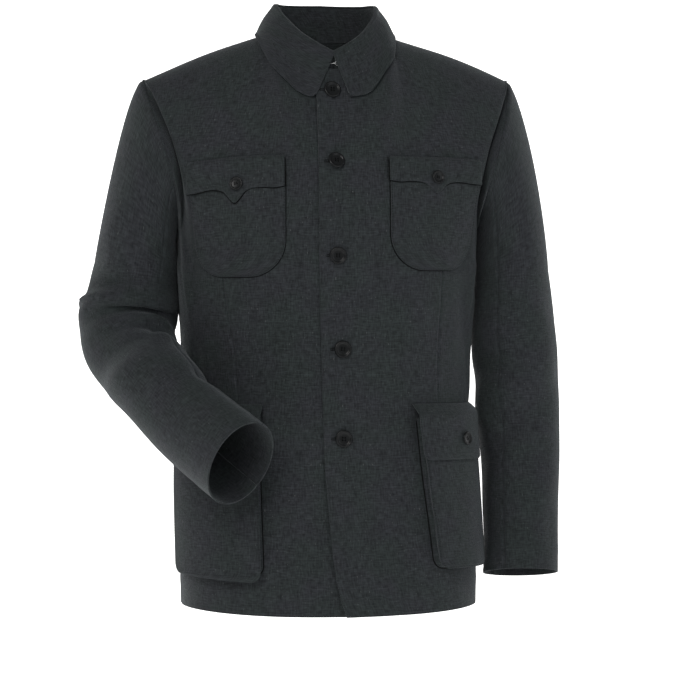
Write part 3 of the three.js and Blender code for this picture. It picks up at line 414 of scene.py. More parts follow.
# fine creases: u is millimetres round from the centre front, v the height
bodyCreases = {
    -1: creaseRows([
        (322, -225, 320, -300, 322, -378, 30, 0.0, 4.6),
        (282, -258, 255, -300, 232, -372, 9, 0.4, -2.4), (262, -252, 236, -285, 215, -330, 10, 0.3, 2.0),
        (196, -345, 190, -400, 182, -470, 13, 0.2, 1.7), (225, -380, 205, -430, 200, -500, 12, -0.3, -1.6),
        (120, -560, 96, -640, 90, -730, 16, 0.0, 1.5), (52, -520, 44, -610, 46, -720, 13, 0.4, -1.8),
        (215, -110, 190, -150, 182, -200, 16, 0.0, -1.1), (60, -350, 80, -395, 96, -450, 17, 0.2, -0.8),
        (330, -300, 345, -380, 330, -470, 14, 0.3, -2.2), (372, -180, 400, -240, 404, -330, 18, -0.2, 2.2),
        (430, -420, 470, -470, 520, -455, 13, 0.2, -2.0), (410, -500, 450, -545, 505, -560, 14, 0.2, 1.8),
        (345, -560, 362, -640, 350, -740, 15, 0.2, -1.8), (470, -600, 480, -670, 474, -750, 18, 0.0, 2.0),
        (500, -120, 470, -165, 425, -190, 18, 0.0, -1.4), (560, -230, 520, -262, 470, -270, 16, 0.1, 1.2)]),
    1: creaseRows([
        (290, -372, 289, -430, 291, -500, 26, 0.0, 4.2),
        (284, -262, 262, -310, 240, -380, 9, -0.4, -2.2), (264, -255, 246, -290, 226, -325, 10, -0.3, 1.7),
        (190, -350, 196, -400, 190, -455, 14, -0.2, -1.2), (228, -395, 214, -430, 206, -470, 12, 0.2, 1.6),
        (92, -580, 84, -650, 88, -735, 18, 0.0, 1.2), (38, -560, 52, -640, 50, -735, 15, 0.3, -1.3),
        (218, -105, 192, -150, 186, -205, 16, 0.0, -1.0), (52, -300, 76, -340, 100, -372, 18, 0.0, 0.9),
        (332, -290, 350, -370, 338, -450, 14, -0.3, -2.0), (368, -190, 395, -250, 400, -340, 18, 0.2, 2.1),
        (425, -405, 472, -450, 530, -448, 13, -0.2, -2.1), (404, -480, 455, -530, 512, -552, 14, -0.2, 1.7),
        (350, -575, 340, -650, 352, -745, 15, 0.0, -1.7), (462, -610, 470, -680, 466, -752, 18, 0.0, 2.0),
        (496, -125, 462, -165, 420, -196, 18, 0.0, -1.3), (565, -245, 525, -280, 480, -282, 16, -0.1, 1.1)]),
}


def sectionAt(place, height):
    row = curveAt(body["sections"], height)
    angle = place * halfTurn
    power = body["roundness"]
    across = np.sign(np.sin(angle)) * np.abs(np.sin(angle)) ** power
    along = np.sign(np.cos(angle)) * np.abs(np.cos(angle)) ** power
    depth = np.where(np.cos(angle) > 0, row["front"], row["back"])
    return xyz(row["wide"] * across, -depth * along, height)


def neckline(turn):  # 0 the centre front, 180 the centre back
    angle = np.radians(turn)
    front = np.cos(angle) > 0
    height = np.where(front, 3 - 55 * np.abs(np.cos(angle)) ** 1.5, 3 + 2 * np.cos(angle))
    return xyz(80 * np.sin(angle), -np.where(front, 88, 68) * np.cos(angle), height)


def topEdge(place):  # neckline, shoulder seam and armhole, and how the cloth meets them
    behind = place > 1
    share = np.where(behind, 2 - place, place)
    back = np.where(behind, -1.0, 1.0)
    neck, seam = body["neckShare"], body["seamShare"]
    part = np.sin(np.clip(share / neck, 0, 1) * halfTurn)
    neckPoint = neckline(np.where(behind, 180 - 90 * part, 90 * part))
    lean = np.where(behind, 0.65, 0.35)
    neckMeet = unit(xyz(0, back * (lean + (1 - lean) * part), 0.94 * (1 - part)))
    seamPoint = xyzOf(curveAt(body["shoulder"], smooth(share, neck, seam)))
    seamMeet = xyz(0, back, 0)
    down = 1 - np.cos(np.clip((share - seam) / (1 - seam), 0, 1) * halfTurn)
    row = curveAt(body["meet"], down)
    armMeet = unit(xyz(row["x"], back * row["y"], row["z"]))
    armPoint = loopAt(body["armhole"], np.where(behind, 8 - 4 * down, 4 * down))
    onNeck, onSeam = (share <= neck)[..., None], (share <= seam)[..., None]
    point = np.where(onNeck, neckPoint, np.where(onSeam, seamPoint, armPoint))
    meet = np.where(onNeck, neckMeet, np.where(onSeam, seamMeet, armMeet))
    return point, meet


def hemAt(place):  # the hem runs up a little toward the sides
    return body["hem"] + body["hemRise"] * (1 - np.cos(place * math.pi)) / 2


def leftShift(points):
    x, z = points[..., 0], points[..., 2]
    share = smooth(x, leftSet["inner"], leftSet["outer"]) * smooth(z, leftSet["low"], leftSet["high"])
    return points + share[..., None] * np.array([leftSet["out"], 0, leftSet["up"]])


def barePoint(place, rise):  # rise 0 the hem, 1 the chest line, 2 the top edge
    place, rise = np.broadcast_arrays(np.asarray(place, float), np.asarray(rise, float))
    mirror = np.where(place < 0, -1.0, 1.0)
    place = np.abs(place)
    chest = body["chestLine"]
    below = sectionAt(place, hemAt(place) + (chest - hemAt(place)) * np.minimum(rise, 1))
    level = np.full(place.shape, float(chest))
    foot = sectionAt(place, level)
    point, meet = topEdge(place)
    far = np.linalg.norm(point - foot, axis=-1)[..., None]
    lead = (sectionAt(place, level + 10) - sectionAt(place, level - 10)) * far / 20
    above = hermite(np.clip(rise - 1, 0, 1)[..., None], foot, lead, point, meet * far * body["lead"])
    found = np.where((rise <= 1)[..., None], below, above)
    found[..., 0] *= mirror
    return found


def bodyNormal(place, rise):
    place, rise = np.broadcast_arrays(np.asarray(place, float), np.asarray(rise, float))
    held = np.minimum(rise, 1.995)
    across = barePoint(place + 0.004, held) - barePoint(place - 0.004, held)
    up = barePoint(place, np.minimum(rise + 0.01, 2)) - barePoint(place, np.maximum(rise - 0.01, 0))
    normal = unit(np.cross(across, up))
    share = np.where(place > 1, 2 - place, place)
    out = smooth(share, body["neckShare"], body["seamShare"])
    a = curveAt(body["shoulder"], np.maximum(out - 0.02, 0))
    b = curveAt(body["shoulder"], np.minimum(out + 0.02, 1))
    ridge = unit(np.cross(xyz(b["x"] - a["x"], 0, b["z"] - a["z"]), xyz(0, 1, 0)))
    onRidge = (rise > 1.999) & (share >= body["neckShare"]) & (share <= body["seamShare"] + 1e-6)
    return np.where(onRidge[..., None], ridge, normal)


def foldDepth(side, place, rise, height):
    quiet = np.clip(1 - (rise - 1) * 2.5, 0, 1)
    depth = np.zeros(np.shape(place))
    for s, at, level, reachRound, reachUp, slant, deep in bodyFolds:
        if s == side:
            up = height - level
            depth += quiet * deep * bell(up, reachUp) * bell(place - at - slant * up, reachRound)
    return depth


def bodyPoint(side, place, rise, out=0.0, fine=True):
    point = barePoint(place, rise)
    normal = bodyNormal(place, rise)
    depth = foldDepth(side, place, rise, point[..., 2]) + out
    if fine:
        depth = depth + creaseField(bodyCreases[side], np.abs(place) * body["roundLength"], point[..., 2])
        depth = depth + seams["ridge"] * bell(point[..., 2] - hemAt(np.abs(place)) - seams["hemUp"], 7)
    flip = np.array([side, 1, 1])
    worn = leftShift((point + normal * depth[..., None]) * flip)
    worn[..., 0] += hemSwing["out"] * smooth(-worn[..., 2], -hemSwing["above"], -hemSwing["below"])
    return worn, normal * flip


def riseAt(place, height):
    place, height = np.broadcast_arrays(np.abs(np.asarray(place, float)), np.asarray(height, float))
    below = (height - hemAt(place)) / (body["chestLine"] - hemAt(place))
    low, high = np.ones(place.shape), np.full(place.shape, 2.0)
    for _ in range(20):
        middle = (low + high) / 2
        under = barePoint(place, middle)[..., 2] < height
        low, high = np.where(under, middle, low), np.where(under, high, middle)
    return np.where(height <= body["chestLine"], below, (low + high) / 2)


levels = {}


def roundAt(length, height):  # place round by the length of cloth from the centre front, at one height
    key = round(float(height), 2)
    if key not in levels:
        places = np.linspace(0, 1.12, 113)
        points = barePoint(places, riseAt(places, key))
        far = np.r_[0, np.cumsum(np.linalg.norm(np.diff(points, axis=0), axis=1))]
        good = np.cumprod(np.abs(points[:, 2] - key) < 1).astype(bool)
        levels[key] = (far[good], places[good])
    far, places = levels[key]
    return np.sign(length) * np.interp(np.abs(length), far, places)


# edge of the lapping left front
frontEdge = rows("height x lift", [
    (-746, 3, 9), (-695, -10, 5), (-577, -18, 1.5), (-521, -20, 0.5), (-416, -23, 0), (-290, -26, 0),
    (-140, -26, 0.2), (-50, -25, 2)])
overlap = {"lift": 2.9, "underlap": 25}


def frontPoint(side, place, rise, out=0.0, fine=True):
    if side < 0:
        return bodyPoint(side, place, rise, out, fine)
    height = np.minimum(barePoint(np.zeros(np.shape(place)), rise)[..., 2], -52)
    lift = curveAt(frontEdge, height)["lift"]
    lap = 1 - smooth(place, 0.1, 0.2)
    near = 1 - smooth(place, -0.06, 0.1)
    return bodyPoint(side, place, rise, out + overlap["lift"] * lap + lift * near, fine)


def onFront(side, length, height, out):  # place on a front by cloth length and height, moved out
    length, height, out = np.broadcast_arrays(*[np.asarray(v, float) for v in (length, height, out)])
    place = np.empty(length.shape)
    snapped = np.round(height * 2) / 2
    for level in np.unique(snapped):
        row = snapped == level
        place[row] = roundAt(length[row], level)
    return frontPoint(side, place, np.minimum(riseAt(place, height), 1.99), out)


# waist darts, from the chest pocket down to the lower one: height and cloth length from the centre front
darts = {
    -1: rows("height length", [(-520, 128), (-420, 134), (-330, 150), (-250, 152)]),
    1: rows("height length", [(-520, 137), (-420, 136), (-330, 141), (-250, 142)]),
}
dart = {"deep": 1.5, "reach": 1.7, "top": -300, "bottom": -486}


def bodyRises():
    step = body["step"] / (body["chestLine"] - body["hem"])
    low = spaced(0, 1, step, (0.002, 0.005))
    high = spaced(1, 2, body["step"] / body["yokeLength"])
    return np.array(sorted({*low, *high[1:], 1.996, 1.991, 1.984}))


def topGroove(place, rise):  # the cloth turns in at the shoulder seam and the armhole
    near = (2 - rise) * body["yokeLength"]
    share = np.where(place > 1, 2 - place, place)
    seamed = smooth(share, body["neckShare"] - 0.02, body["neckShare"] + 0.02)
    arm = smooth(share, body["seamShare"] - 0.02, body["seamShare"] + 0.03)
    return seamed * (-seams["groove"] * (1 - arm * 0.85) * bell(near, seams["reach"] * (1 - arm * 0.5))
                     + seams["ridge"] * bell(near - 8, 5))


def frontPanel(side):
    rises = bodyRises()
    heights = np.minimum(barePoint(np.zeros(len(rises)), rises)[:, 2], -52)
    wide = body["roundLength"]
    step = body["step"] / wide
    columns = []
    edges = curveAt(frontEdge, heights)["x"] if side > 0 else np.full(len(heights), -overlap["underlap"])
    starts = np.array([roundAt(np.array([x]), h)[0] for x, h in zip(edges, heights)])
    for u in np.r_[0, 0.03, 0.08, 0.15, np.linspace(0.25, 1, 8)]:
        columns.append(starts + (0.1 - starts) * u)
    heightsDart = np.clip(heights, -520, -250)
    lengths = curveAt(darts[side], heightsDart)["length"]
    dartAt = np.array([roundAt(np.array([x]), h)[0] for x, h in zip(lengths, heightsDart)])
    for place in spaced(0.1, 0.3, step)[1:]:
        columns.append(np.full(len(rises), place))
    low, high = dartAt - 5.5 / wide, dartAt + 5.5 / wide
    for u in np.linspace(0, 1, 12)[1:]:
        columns.append(0.3 + (low - 0.3) * u)
    for off in (-4, -2.8, -1.8, -1, -0.4, 0, 0.4, 1, 1.8, 2.8, 4, 5.5):
        columns.append(dartAt + off / wide)
    for u in np.linspace(0, 1, 11)[1:]:
        columns.append(high + (0.62 - high) * u)
    for place in spaced(0.62, 1, step, (0.004, 0.008, 0.012))[1:]:
        columns.append(np.full(len(rises), place))
    place = np.array(columns)
    rise = np.broadcast_to(rises, place.shape)
    height = np.broadcast_to(heights, place.shape)
    onDart = smooth(height, dart["bottom"], dart["bottom"] + 30)
    onDart = onDart * (1 - smooth(height, dart["top"], dart["top"] + 30))
    groove = -dart["deep"] * onDart * bell((place - dartAt) * wide, dart["reach"])
    groove = groove + 0.5 * onDart * bell((place - dartAt) * wide - 5, 5)
    groove = groove - seams["groove"] * bell((1 - place) * wide, seams["reach"]) * (rise < 1.98)
    fromEdge = (place - starts) * wide
    if side > 0:
        groove = groove - 0.7 * bell(fromEdge, 1.2) + 0.3 * bell(fromEdge - 6, 4)
    point, normal = frontPoint(side, place, rise, groove + topGroove(place, rise))
    name = "frontLeft" if side > 0 else "frontRight"
    node = "front_left" if side > 0 else "front_right"
    return clothPiece(name, point, normal, body["wall"], [node])


def backPanel():
    rises = bodyRises()
    wide = body["roundLength"]
    half = 2 - np.r_[spaced(0, 0.3, 5 / wide), spaced(0.3, 0.62, 5 / wide)[1:],
                     spaced(0.62, 1, 5 / wide, (0.004, 0.008, 0.012))[1:]]
    half = half[::-1]  # from the side seam to the centre back
    pieces = []
    for side in (1, -1):
        place = np.broadcast_to(half[:, None], (len(half), len(rises)))
        rise = np.broadcast_to(rises, place.shape)
        atSide = bell((place - 1) * wide, seams["reach"]) * (rise < 1.98)
        groove = topGroove(place, rise) - seams["groove"] * atSide
        pieces.append(bodyPoint(side, place, rise, groove))
    (leftPoint, leftNormal), (rightPoint, rightNormal) = pieces
    # both halves share the centre back
    blend = smooth(half, 1.85, 2.0)[:, None, None] * np.array([0, 0.5, 0.5])
    left = leftPoint * (1 - blend) + rightPoint * blend
    right = rightPoint * (1 - blend) + leftPoint * blend
    point = np.concatenate([left, right[:-1][::-1]])
    normal = np.concatenate([leftNormal, rightNormal[:-1][::-1]])
    return clothPiece("backPanel", point, normal, body["wall"], ["back_panel"])


frontRight = frontPanel(-1)
frontLeft = frontPanel(1)
back = backPanel()
print("body panels cut")


# sleeves

armLooks = {
    "wall": 2.0, "armGap": 0.34, "degreeStep": 3.4, "rowStep": 4.0, "seamDegrees": 126,
}
arms = {
    1: {"name": "Left", "rows": rows("x y z wide deep", [
        (248, 4, -310, 49, 70), (253, 4, -375, 56, 65), (256.5, 2, -450, 57, 60), (258.5, -2, -545, 54.5, 55),
        (257.5, -12, -625, 52, 52), (256, -27, -703, 50, 50)]),
        # down (share), round (degrees), reaches, slant, depth
        "folds": [
            (0.3, 150, 0.05, 50, 0.0012, -5), (0.4, 130, 0.06, 55, 0.0014, 5),
            (0.52, 110, 0.06, 60, 0.0018, -5), (0.12, 40, 0.09, 40, -0.0015, -3),
            (0.7, 60, 0.1, 40, 0.002, 3), (0.35, 250, 0.07, 50, -0.0015, -5),
            (0.6, 270, 0.09, 45, 0.0015, 3)],
        # u is degrees round (0 out, 90 front), v millimetres down from under the arm
        "creases": creaseRows([
            (182, 170, 178, 290, 182, 400, 32, 0.0, -6.4), (138, 100, 132, 240, 142, 400, 16, 0.0, -3.0),
            (150, 20, 105, 32, 70, 62, 8, 0.3, -2.2), (158, 62, 120, 80, 78, 88, 9, 0.3, 2.0),
            (160, 118, 120, 140, 70, 132, 7, 0.4, -2.6), (152, 148, 108, 158, 58, 176, 9, 0.3, 2.4),
            (160, 176, 124, 190, 96, 232, 9, 0.5, -2.8), (100, 196, 62, 212, 30, 205, 10, 0.2, 1.7),
            (128, 236, 96, 258, 84, 300, 10, 0.4, -1.8), (40, 90, 20, 128, 24, 170, 13, 0.0, -1.5),
            (60, 300, 44, 340, 52, 384, 13, 0.0, -1.3), (250, 90, 222, 120, 200, 128, 9, 0.2, -2.4),
            (262, 130, 232, 148, 205, 150, 9, 0.2, 2.2), (268, 168, 236, 178, 206, 190, 9, 0.2, -2.2),
            (300, 60, 320, 110, 312, 170, 14, 0.0, 1.6), (290, 240, 310, 290, 300, 350, 14, 0.0, -1.5)])},
    -1: {"name": "Right", "rows": rows("x y z wide deep", [
        (250.5, 4, -305, 52.5, 69), (256, 5, -338, 57.5, 66), (259.5, 1, -374, 62, 62),
        (257, -22, -407, 60.5, 57), (244, -62, -433, 55, 53), (223, -113, -459, 53, 54),
        (189, -162, -499, 51, 57), (133, -229, -548, 51, 60)]),
        "folds": [
            (0.05, 60, 0.045, 65, -0.0003, -5), (0.145, 70, 0.04, 75, -0.0002, 7),
            (0.215, 85, 0.035, 65, 0.0002, -6), (0.3, 110, 0.04, 50, 0.0004, 5),
            (0.37, 115, 0.035, 50, 0.0006, -6), (0.45, 120, 0.045, 45, 0.0008, 4),
            (0.4, 20, 0.06, 45, 0.001, -4), (0.52, 25, 0.06, 50, 0.0012, 4),
            (0.25, 270, 0.07, 50, -0.0008, -4)],
        "creases": creaseRows([
            (184, -75, 186, 20, 190, 95, 32, 0.0, 5.6), (108, 256, 147, 270, 182, 292, 17, 0.0, -8.0),
            (-14, 56, 30, 38, 124, 42, 5, -0.7, 6.6), (20, 66, 74, 54, 136, 60, 7, 0.4, -7.4),
            (2, 30, 52, 20, 110, 18, 11, 0.4, -6.2), (30, 0, 74, 10, 134, 2, 9, 0.3, 3.0),
            (0, 8, 44, -12, 78, -38, 10, 0.2, -1.8), (24, -10, 60, -36, 82, -70, 12, 0.0, 1.6),
            (150, 104, 118, 112, 78, 150, 8, 0.4, 2.6), (158, 126, 124, 140, 92, 176, 8, 0.4, -3.0),
            (150, 158, 120, 168, 90, 206, 9, 0.3, 2.2), (40, 150, 62, 176, 100, 182, 10, 0.2, -1.6),
            (10, 190, 40, 214, 84, 214, 12, 0.2, 1.8), (20, 250, 50, 280, 60, 340, 14, 0.0, -1.5),
            (230, 60, 200, 84, 170, 86, 9, 0.2, -2.6), (240, 96, 210, 112, 176, 112, 9, 0.2, 2.2),
            (300, 40, 330, 74, 352, 76, 10, 0.2, -2.2), (290, 110, 318, 150, 330, 210, 13, 0.0, 1.8),
            (250, 240, 280, 280, 276, 340, 14, 0.0, -1.5)])},
}


def armFrames(arm):
    table = arm["rows"]
    middle = xyzOf(table)
    down = np.r_[0, np.cumsum(np.linalg.norm(np.diff(middle, axis=0), axis=1))]
    curve = {"down": down, **table}
    length = down[-1]
    places = np.linspace(0, length, 81)
    row = curveAt(curve, places)
    ahead = xyzOf(curveAt(curve, np.minimum(places + 1, length)))
    way = unit(ahead - xyzOf(curveAt(curve, np.maximum(places - 1, 0))))
    out = np.array([1.0, 0, 0])
    outs = []
    for w in way:
        out = unit(out - w * (out @ w))
        outs.append(out)
    outs = np.array(outs)
    return {"length": length, "middle": xyzOf(row), "wide": row["wide"], "deep": row["deep"],
            "way": way, "out": outs, "forward": np.cross(way, outs)}


def armRound(degrees):  # place round the half body where the armhole has a turn of the sleeve
    turned = np.mod(degrees + 180, 360) - 180
    seam = body["seamShare"]
    share = seam + (1 - seam) * np.arccos(1 - np.abs(turned) / 180) / halfTurn
    return np.where(turned < 0, 2 - share, share)


def sleeveBare(frames, degrees, down):
    place = np.clip(down, 0, 1) * 80
    i = np.minimum(np.floor(place).astype(int), 79)
    u = place - i
    mixed = lambda name: frames[name][i] + (frames[name][i + 1] - frames[name][i]) * (
        u[..., None] if frames[name].ndim > 1 else u)
    angle = np.radians(degrees)
    point = (mixed("middle") + mixed("out") * (mixed("wide") * np.cos(angle))[..., None]
             + mixed("forward") * (mixed("deep") * np.sin(angle))[..., None])
    start = loopAt(body["armhole"], degrees / 45)
    along = loopAt(body["armhole"], degrees / 45 + 0.05) - loopAt(body["armhole"], degrees / 45 - 0.05)
    apart = unit(np.cross(bodyNormal(armRound(degrees), np.full(degrees.shape, 2.0)), along))
    start = start + apart * armLooks["armGap"] / 2
    under = (1 - np.cos(angle)) / 2
    startSlope = xyz(0.95 - 0.2 * under, 0, 0.12 - 0.55 * under) * (62 - 38 * under)[..., None]
    fall = np.abs(start[..., 2] - point[..., 2])
    endSlope = mixed("way") * np.maximum(fall * 0.85, 18)[..., None]
    cap = hermite(np.clip(1 + down, 0, 1)[..., None], start, startSlope, point, endSlope)
    return np.where((down >= 0)[..., None], point, cap)


def sleevePoint(side, frames, degrees, down, out=0.0):
    arm = arms[side]
    degrees, down = np.broadcast_arrays(np.mod(np.asarray(degrees, float), 360), np.asarray(down, float))
    point = sleeveBare(frames, degrees, down)
    across = sleeveBare(frames, degrees + 3, down) - sleeveBare(frames, degrees - 3, down)
    along = sleeveBare(frames, degrees, np.minimum(down + 0.01, 1)) - sleeveBare(
        frames, degrees, np.maximum(down - 0.01, -1))
    normal = unit(np.cross(across, along))
    shared = bodyNormal(armRound(degrees), np.full(degrees.shape, 2.0))
    close = smooth(-down, 0.8, 1.0)[..., None]
    normal = unit(normal * (1 - close) + shared * close)
    depth = np.zeros(degrees.shape)
    for at, middle, reachDown, reachRound, slant, deep in arm["folds"]:
        turned = np.mod(degrees - middle + 180, 360) - 180
        depth += deep * bell(down - at - slant * turned, reachDown) * bell(turned, reachRound)
    depth *= smooth(down, -0.1, 0.06) * (1 - smooth(down, 0.9, 1))
    signed = np.where(degrees > 305, degrees - 360, degrees)
    low = np.where(down < 0, down * 110, down * frames["length"])
    fine = creaseField(arm["creases"], signed, low) + 0.35 * bell(low - frames["length"] + 30, 7)
    depth += fine * smooth(down, -0.9, -0.45)
    point = point + normal * (depth + out)[..., None]
    flip = np.array([side, 1, 1])
    return leftShift(point * flip), normal * flip


def sleeve(side):
    arm = arms[side]
    frames = armFrames(arm)
    cap = -1 + np.linspace(0, 1, 24)[:-1] ** 1.25
    cap = np.array(sorted({*cap, -0.994, -0.985, -0.972}))
    lower = spaced(0, 1, armLooks["rowStep"] / frames["length"], (0.003, 0.008))
    downs = np.r_[cap, lower]
    seam = armLooks["seamDegrees"]
    made = []
    for part, start, end in (("Top", -seam, seam), ("Under", seam, 360 - seam)):
        turns = spaced(start, end, armLooks["degreeStep"], (0.15, 1.1, 2.2))
        turns = turns[(turns > start) & (turns < end)]
        degrees = np.broadcast_to(turns[:, None], (len(turns), len(downs)))
        down = np.broadcast_to(downs, degrees.shape)
        edge = np.minimum(degrees - start, end - degrees)
        head = np.where(down < 0, (down + 1) * 110, 99.0)
        out = -seams["groove"] * bell(edge, seams["reach"]) - 0.15 * bell(head, 1.2) + 0.9 * bell(head - 8, 5)
        point, normal = sleevePoint(side, frames, degrees, down, out)
        node = f"sleeve_{arm['name'].lower()}_{part.lower()}"
        grain = np.stack([degrees * 0.98, np.where(down < 0, down * 110, down * frames["length"])], -1)
        name = f"sleeve{arm['name']}{part}"
        made.append(clothPiece(name, point, normal, armLooks["wall"], [node], grain=grain))
    return made


sleeveLeft = sleeve(1)
sleeveRight = sleeve(-1)
print("sleeves set in")


# collar

collar = {
    "wall": 2.0, "seamGap": 0.3, "standGap": 1.2,
    "roundTip": 8.0, "sharpTip": 1.2,      # rounding of the right and the left tip
    # how much longer the leaf is than its pattern edge, by turn, on the right and on the left
    "longer": rows("turn right left", [
        (0, 11, 8), (8, 12, 10), (15, 13, 12), (25, 16, 12), (35, 17, 10),
        (50, 16, 5), (60, 15, 2), (75, 9, 0), (90, 3, 0), (180, 0, 0)]),
    # how the two tips hang: toward the middle, down, and over how many degrees
    "tipIn": {"right": -1.0, "left": 6.0}, "tipDown": {"right": 3.0, "left": 6.0}, "tipReach": 11,
    "restOut": 2.9,
    "table": rows("turn foldX foldY foldZ edgeX edgeY edgeZ", [
        (0, 0, -80, -28, 21, -106, -76), (15, 20, -78, -17, 39, -105, -73), (35, 40, -65, -2, 58, -95, -55),
        (60, 59, -38, 22, 80, -76, -30), (75, 64, -19, 34, 89, -40, -5), (90, 66, 2, 42, 91, 0, 4),
        (125, 53, 40, 46, 80, 46, 2), (155, 28, 58, 48, 43, 70.5, -4), (180, 0, 62, 49, 0, 78, -7)]),
}


def collarRow(turn):
    half = np.where(turn > 180, 360 - turn, turn)
    side = np.where(turn > 180, -1.0, 1.0)
    row = curveAt(collar["table"], half)
    foot = neckline(half) * xyz(side, 1, 1)
    fold = xyz(row["foldX"] * side, row["foldY"], row["foldZ"])
    edge = xyz(row["edgeX"] * side, row["edgeY"], row["edgeZ"])
    out = unit(foot * np.array([1, 0.9, 0]))
    return foot, fold, edge, out


def throughPoints(points, places):  # smooth line through a list of points
    stack = np.stack(points)
    stack = np.concatenate([2 * stack[:1] - stack[1:2], stack, 2 * stack[-1:] - stack[-2:-1]])
    found = []
    for p in places:
        i = min(int(p), len(points) - 2)
        a, b, c, d = stack[i:i + 4]
        found.append(hermite(p - i, b, (c - a) / 2, c, (d - b) / 2))
    return np.stack(found, 1)


def collarStand():
    gap = collar["standGap"]
    turns = spaced(gap, 360 - gap, 3.0, (0.5, 1.2))
    foot, fold, _, out = collarRow(turns)
    low = foot - out * 0.4 + np.array([0, 0, 0.45])
    rise = fold - low
    along = np.cross(np.array([0, 0, 1.0]), out)
    normal = unit(np.cross(along, rise))
    share = np.linspace(0, 1, 13)
    point = (low[:, None] + rise[:, None] * share[None, :, None]
             + out[:, None] * (1.5 * np.sin(np.pi * share))[None, :, None])
    normals = np.broadcast_to(normal[:, None], point.shape)
    return clothPiece("collarStand", point, normals, collar["wall"], ["collar_stand"])


def restOnBody(grid, out, share):  # the leaf is pushed clear of the shoulders and chest it lies on
    spots, ways = [], []
    for side in (1, -1):
        for places in (np.linspace(0, 0.75, 90), np.linspace(1.4, 2.0, 60)):
            place, rise = np.meshgrid(places, np.linspace(1.5, 1.999, 60), indexing="ij")
            point, way = frontPoint(side, place, rise) if places[0] == 0 else bodyPoint(side, place, rise)
            spots.append(point.reshape(-1, 3))
            ways.append(way.reshape(-1, 3))
    spots, ways = np.concatenate(spots), np.concatenate(ways)
    flat = grid.reshape(-1, 3).copy()
    share = np.broadcast_to(share, grid.shape[:2]).ravel()
    for k in np.flatnonzero(share > 0):
        point = flat[k]
        away = point - spots
        near = np.argmin((away ** 2).sum(1))
        proud = away[near] @ ways[near]
        if np.abs(away[near]).max() < 30 and proud < out:
            flat[k] = point + ways[near] * (out - proud) * share[k]
    return flat.reshape(grid.shape)


def collarLeaf():
    turns = spaced(0, 360, 2.6, (0.3, 0.8, 1.5, 3.6, 4.8, 6.4))
    _, fold, edge, out = collarRow(turns)
    up = np.array([0, 0, 1.0])
    wall = collar["wall"]
    start = fold + up * (wall + collar["seamGap"] + 0.1) - out * wall
    over = fold + up * (wall + collar["seamGap"] - 0.4) + out * 2.2
    shoulder = fold - up * 3.5 + out * 6
    # tips: how far each column of the leaf reaches, in mm short of its edge
    fromTip = np.minimum(turns, 360 - turns) * 1.55
    radius = np.where(turns > 180, collar["roundTip"], collar["sharpTip"])
    inside = np.clip(1 - fromTip / radius, 0, 1)
    short = radius * (1 - np.sqrt(1 - inside ** 2))
    chord = edge - shoulder
    longer = curveAt(collar["longer"], np.minimum(turns, 360 - turns))
    added = np.where(turns > 180, longer["right"], longer["left"])
    reach = 1 + (added - short) / np.linalg.norm(chord, axis=-1)
    chord = chord * reach[:, None]
    hang = bell(np.minimum(turns, 360 - turns), collar["tipReach"])
    inward = np.where(turns > 180, collar["tipIn"]["right"], -collar["tipIn"]["left"])
    downward = np.where(turns > 180, collar["tipDown"]["right"], collar["tipDown"]["left"])
    chord = chord + np.stack([inward * hang, 0 * hang, -downward * hang], -1)
    flat = unit(np.cross(np.cross(up, out), -chord))
    points = [start, over, shoulder, shoulder + chord * 0.33 + out * 2.2, shoulder + chord * 0.67 + out * 1.6,
              shoulder + chord]
    outward = [up + out * 0, unit(up + out * 0.5), unit(out + up * 0.45), flat, flat, flat]
    places = np.r_[np.linspace(0, 2, 9), np.linspace(2, 5, 26)[1:-1], 4.93, 4.97, 5]
    grid = throughPoints(points, places)
    normals = unit(throughPoints(outward, places))
    near = np.r_[(5 - places)] * 26
    roll = -0.5 * bell(near, 1.1) + 0.45 * bell(near - 6, 3.2)
    ripple = 0.8 * np.sin(np.radians(turns * 3 + 40))[:, None] * smooth(places, 2.4, 4.2)[None, :]
    grid = restOnBody(grid, collar["restOut"] + collar["wall"], smooth(places, 2.9, 3.7))
    grid = grid + normals * (roll[None, :] + ripple)[..., None]
    return clothPiece("collarLeaf", grid, normals, collar["wall"], ["collar_leaf"])


collarPieces = [collarStand(), collarLeaf()]
print("collar turned down")


# pockets and flaps

chestPocket = {
    "inner": 66, "width": 128, "top": -180, "bottom": -318, "corner": 46, "proud": 1.5, "wall": 1.6,
}
chestFlap = {
    "inner": 64, "width": 132, "top": -164, "outerFall": 8, "share": 1.0, "proud": 4.5, "wall": 1.6,
    "buttonDrop": 37, "lift": 4.2,
    "drop": rows("share drop", [(0, 40), (0.1, 42), (0.26, 41), (0.38, 44), (0.5, 59), (0.62, 44), (0.74, 40),
                                (0.9, 41), (1, 40)]),
}
lowerPocket = {
    "inner": 100, "width": 132, "top": -496, "bottom": -695, "corner": 14, "depth": 14, "wall": 1.6,
}
lowerFlap = {
    "inner": 96, "width": 140, "top": -478, "bottom": -551, "corner": 10, "proud": 17.2, "wall": 1.6,
    "buttonDrop": 46,
}
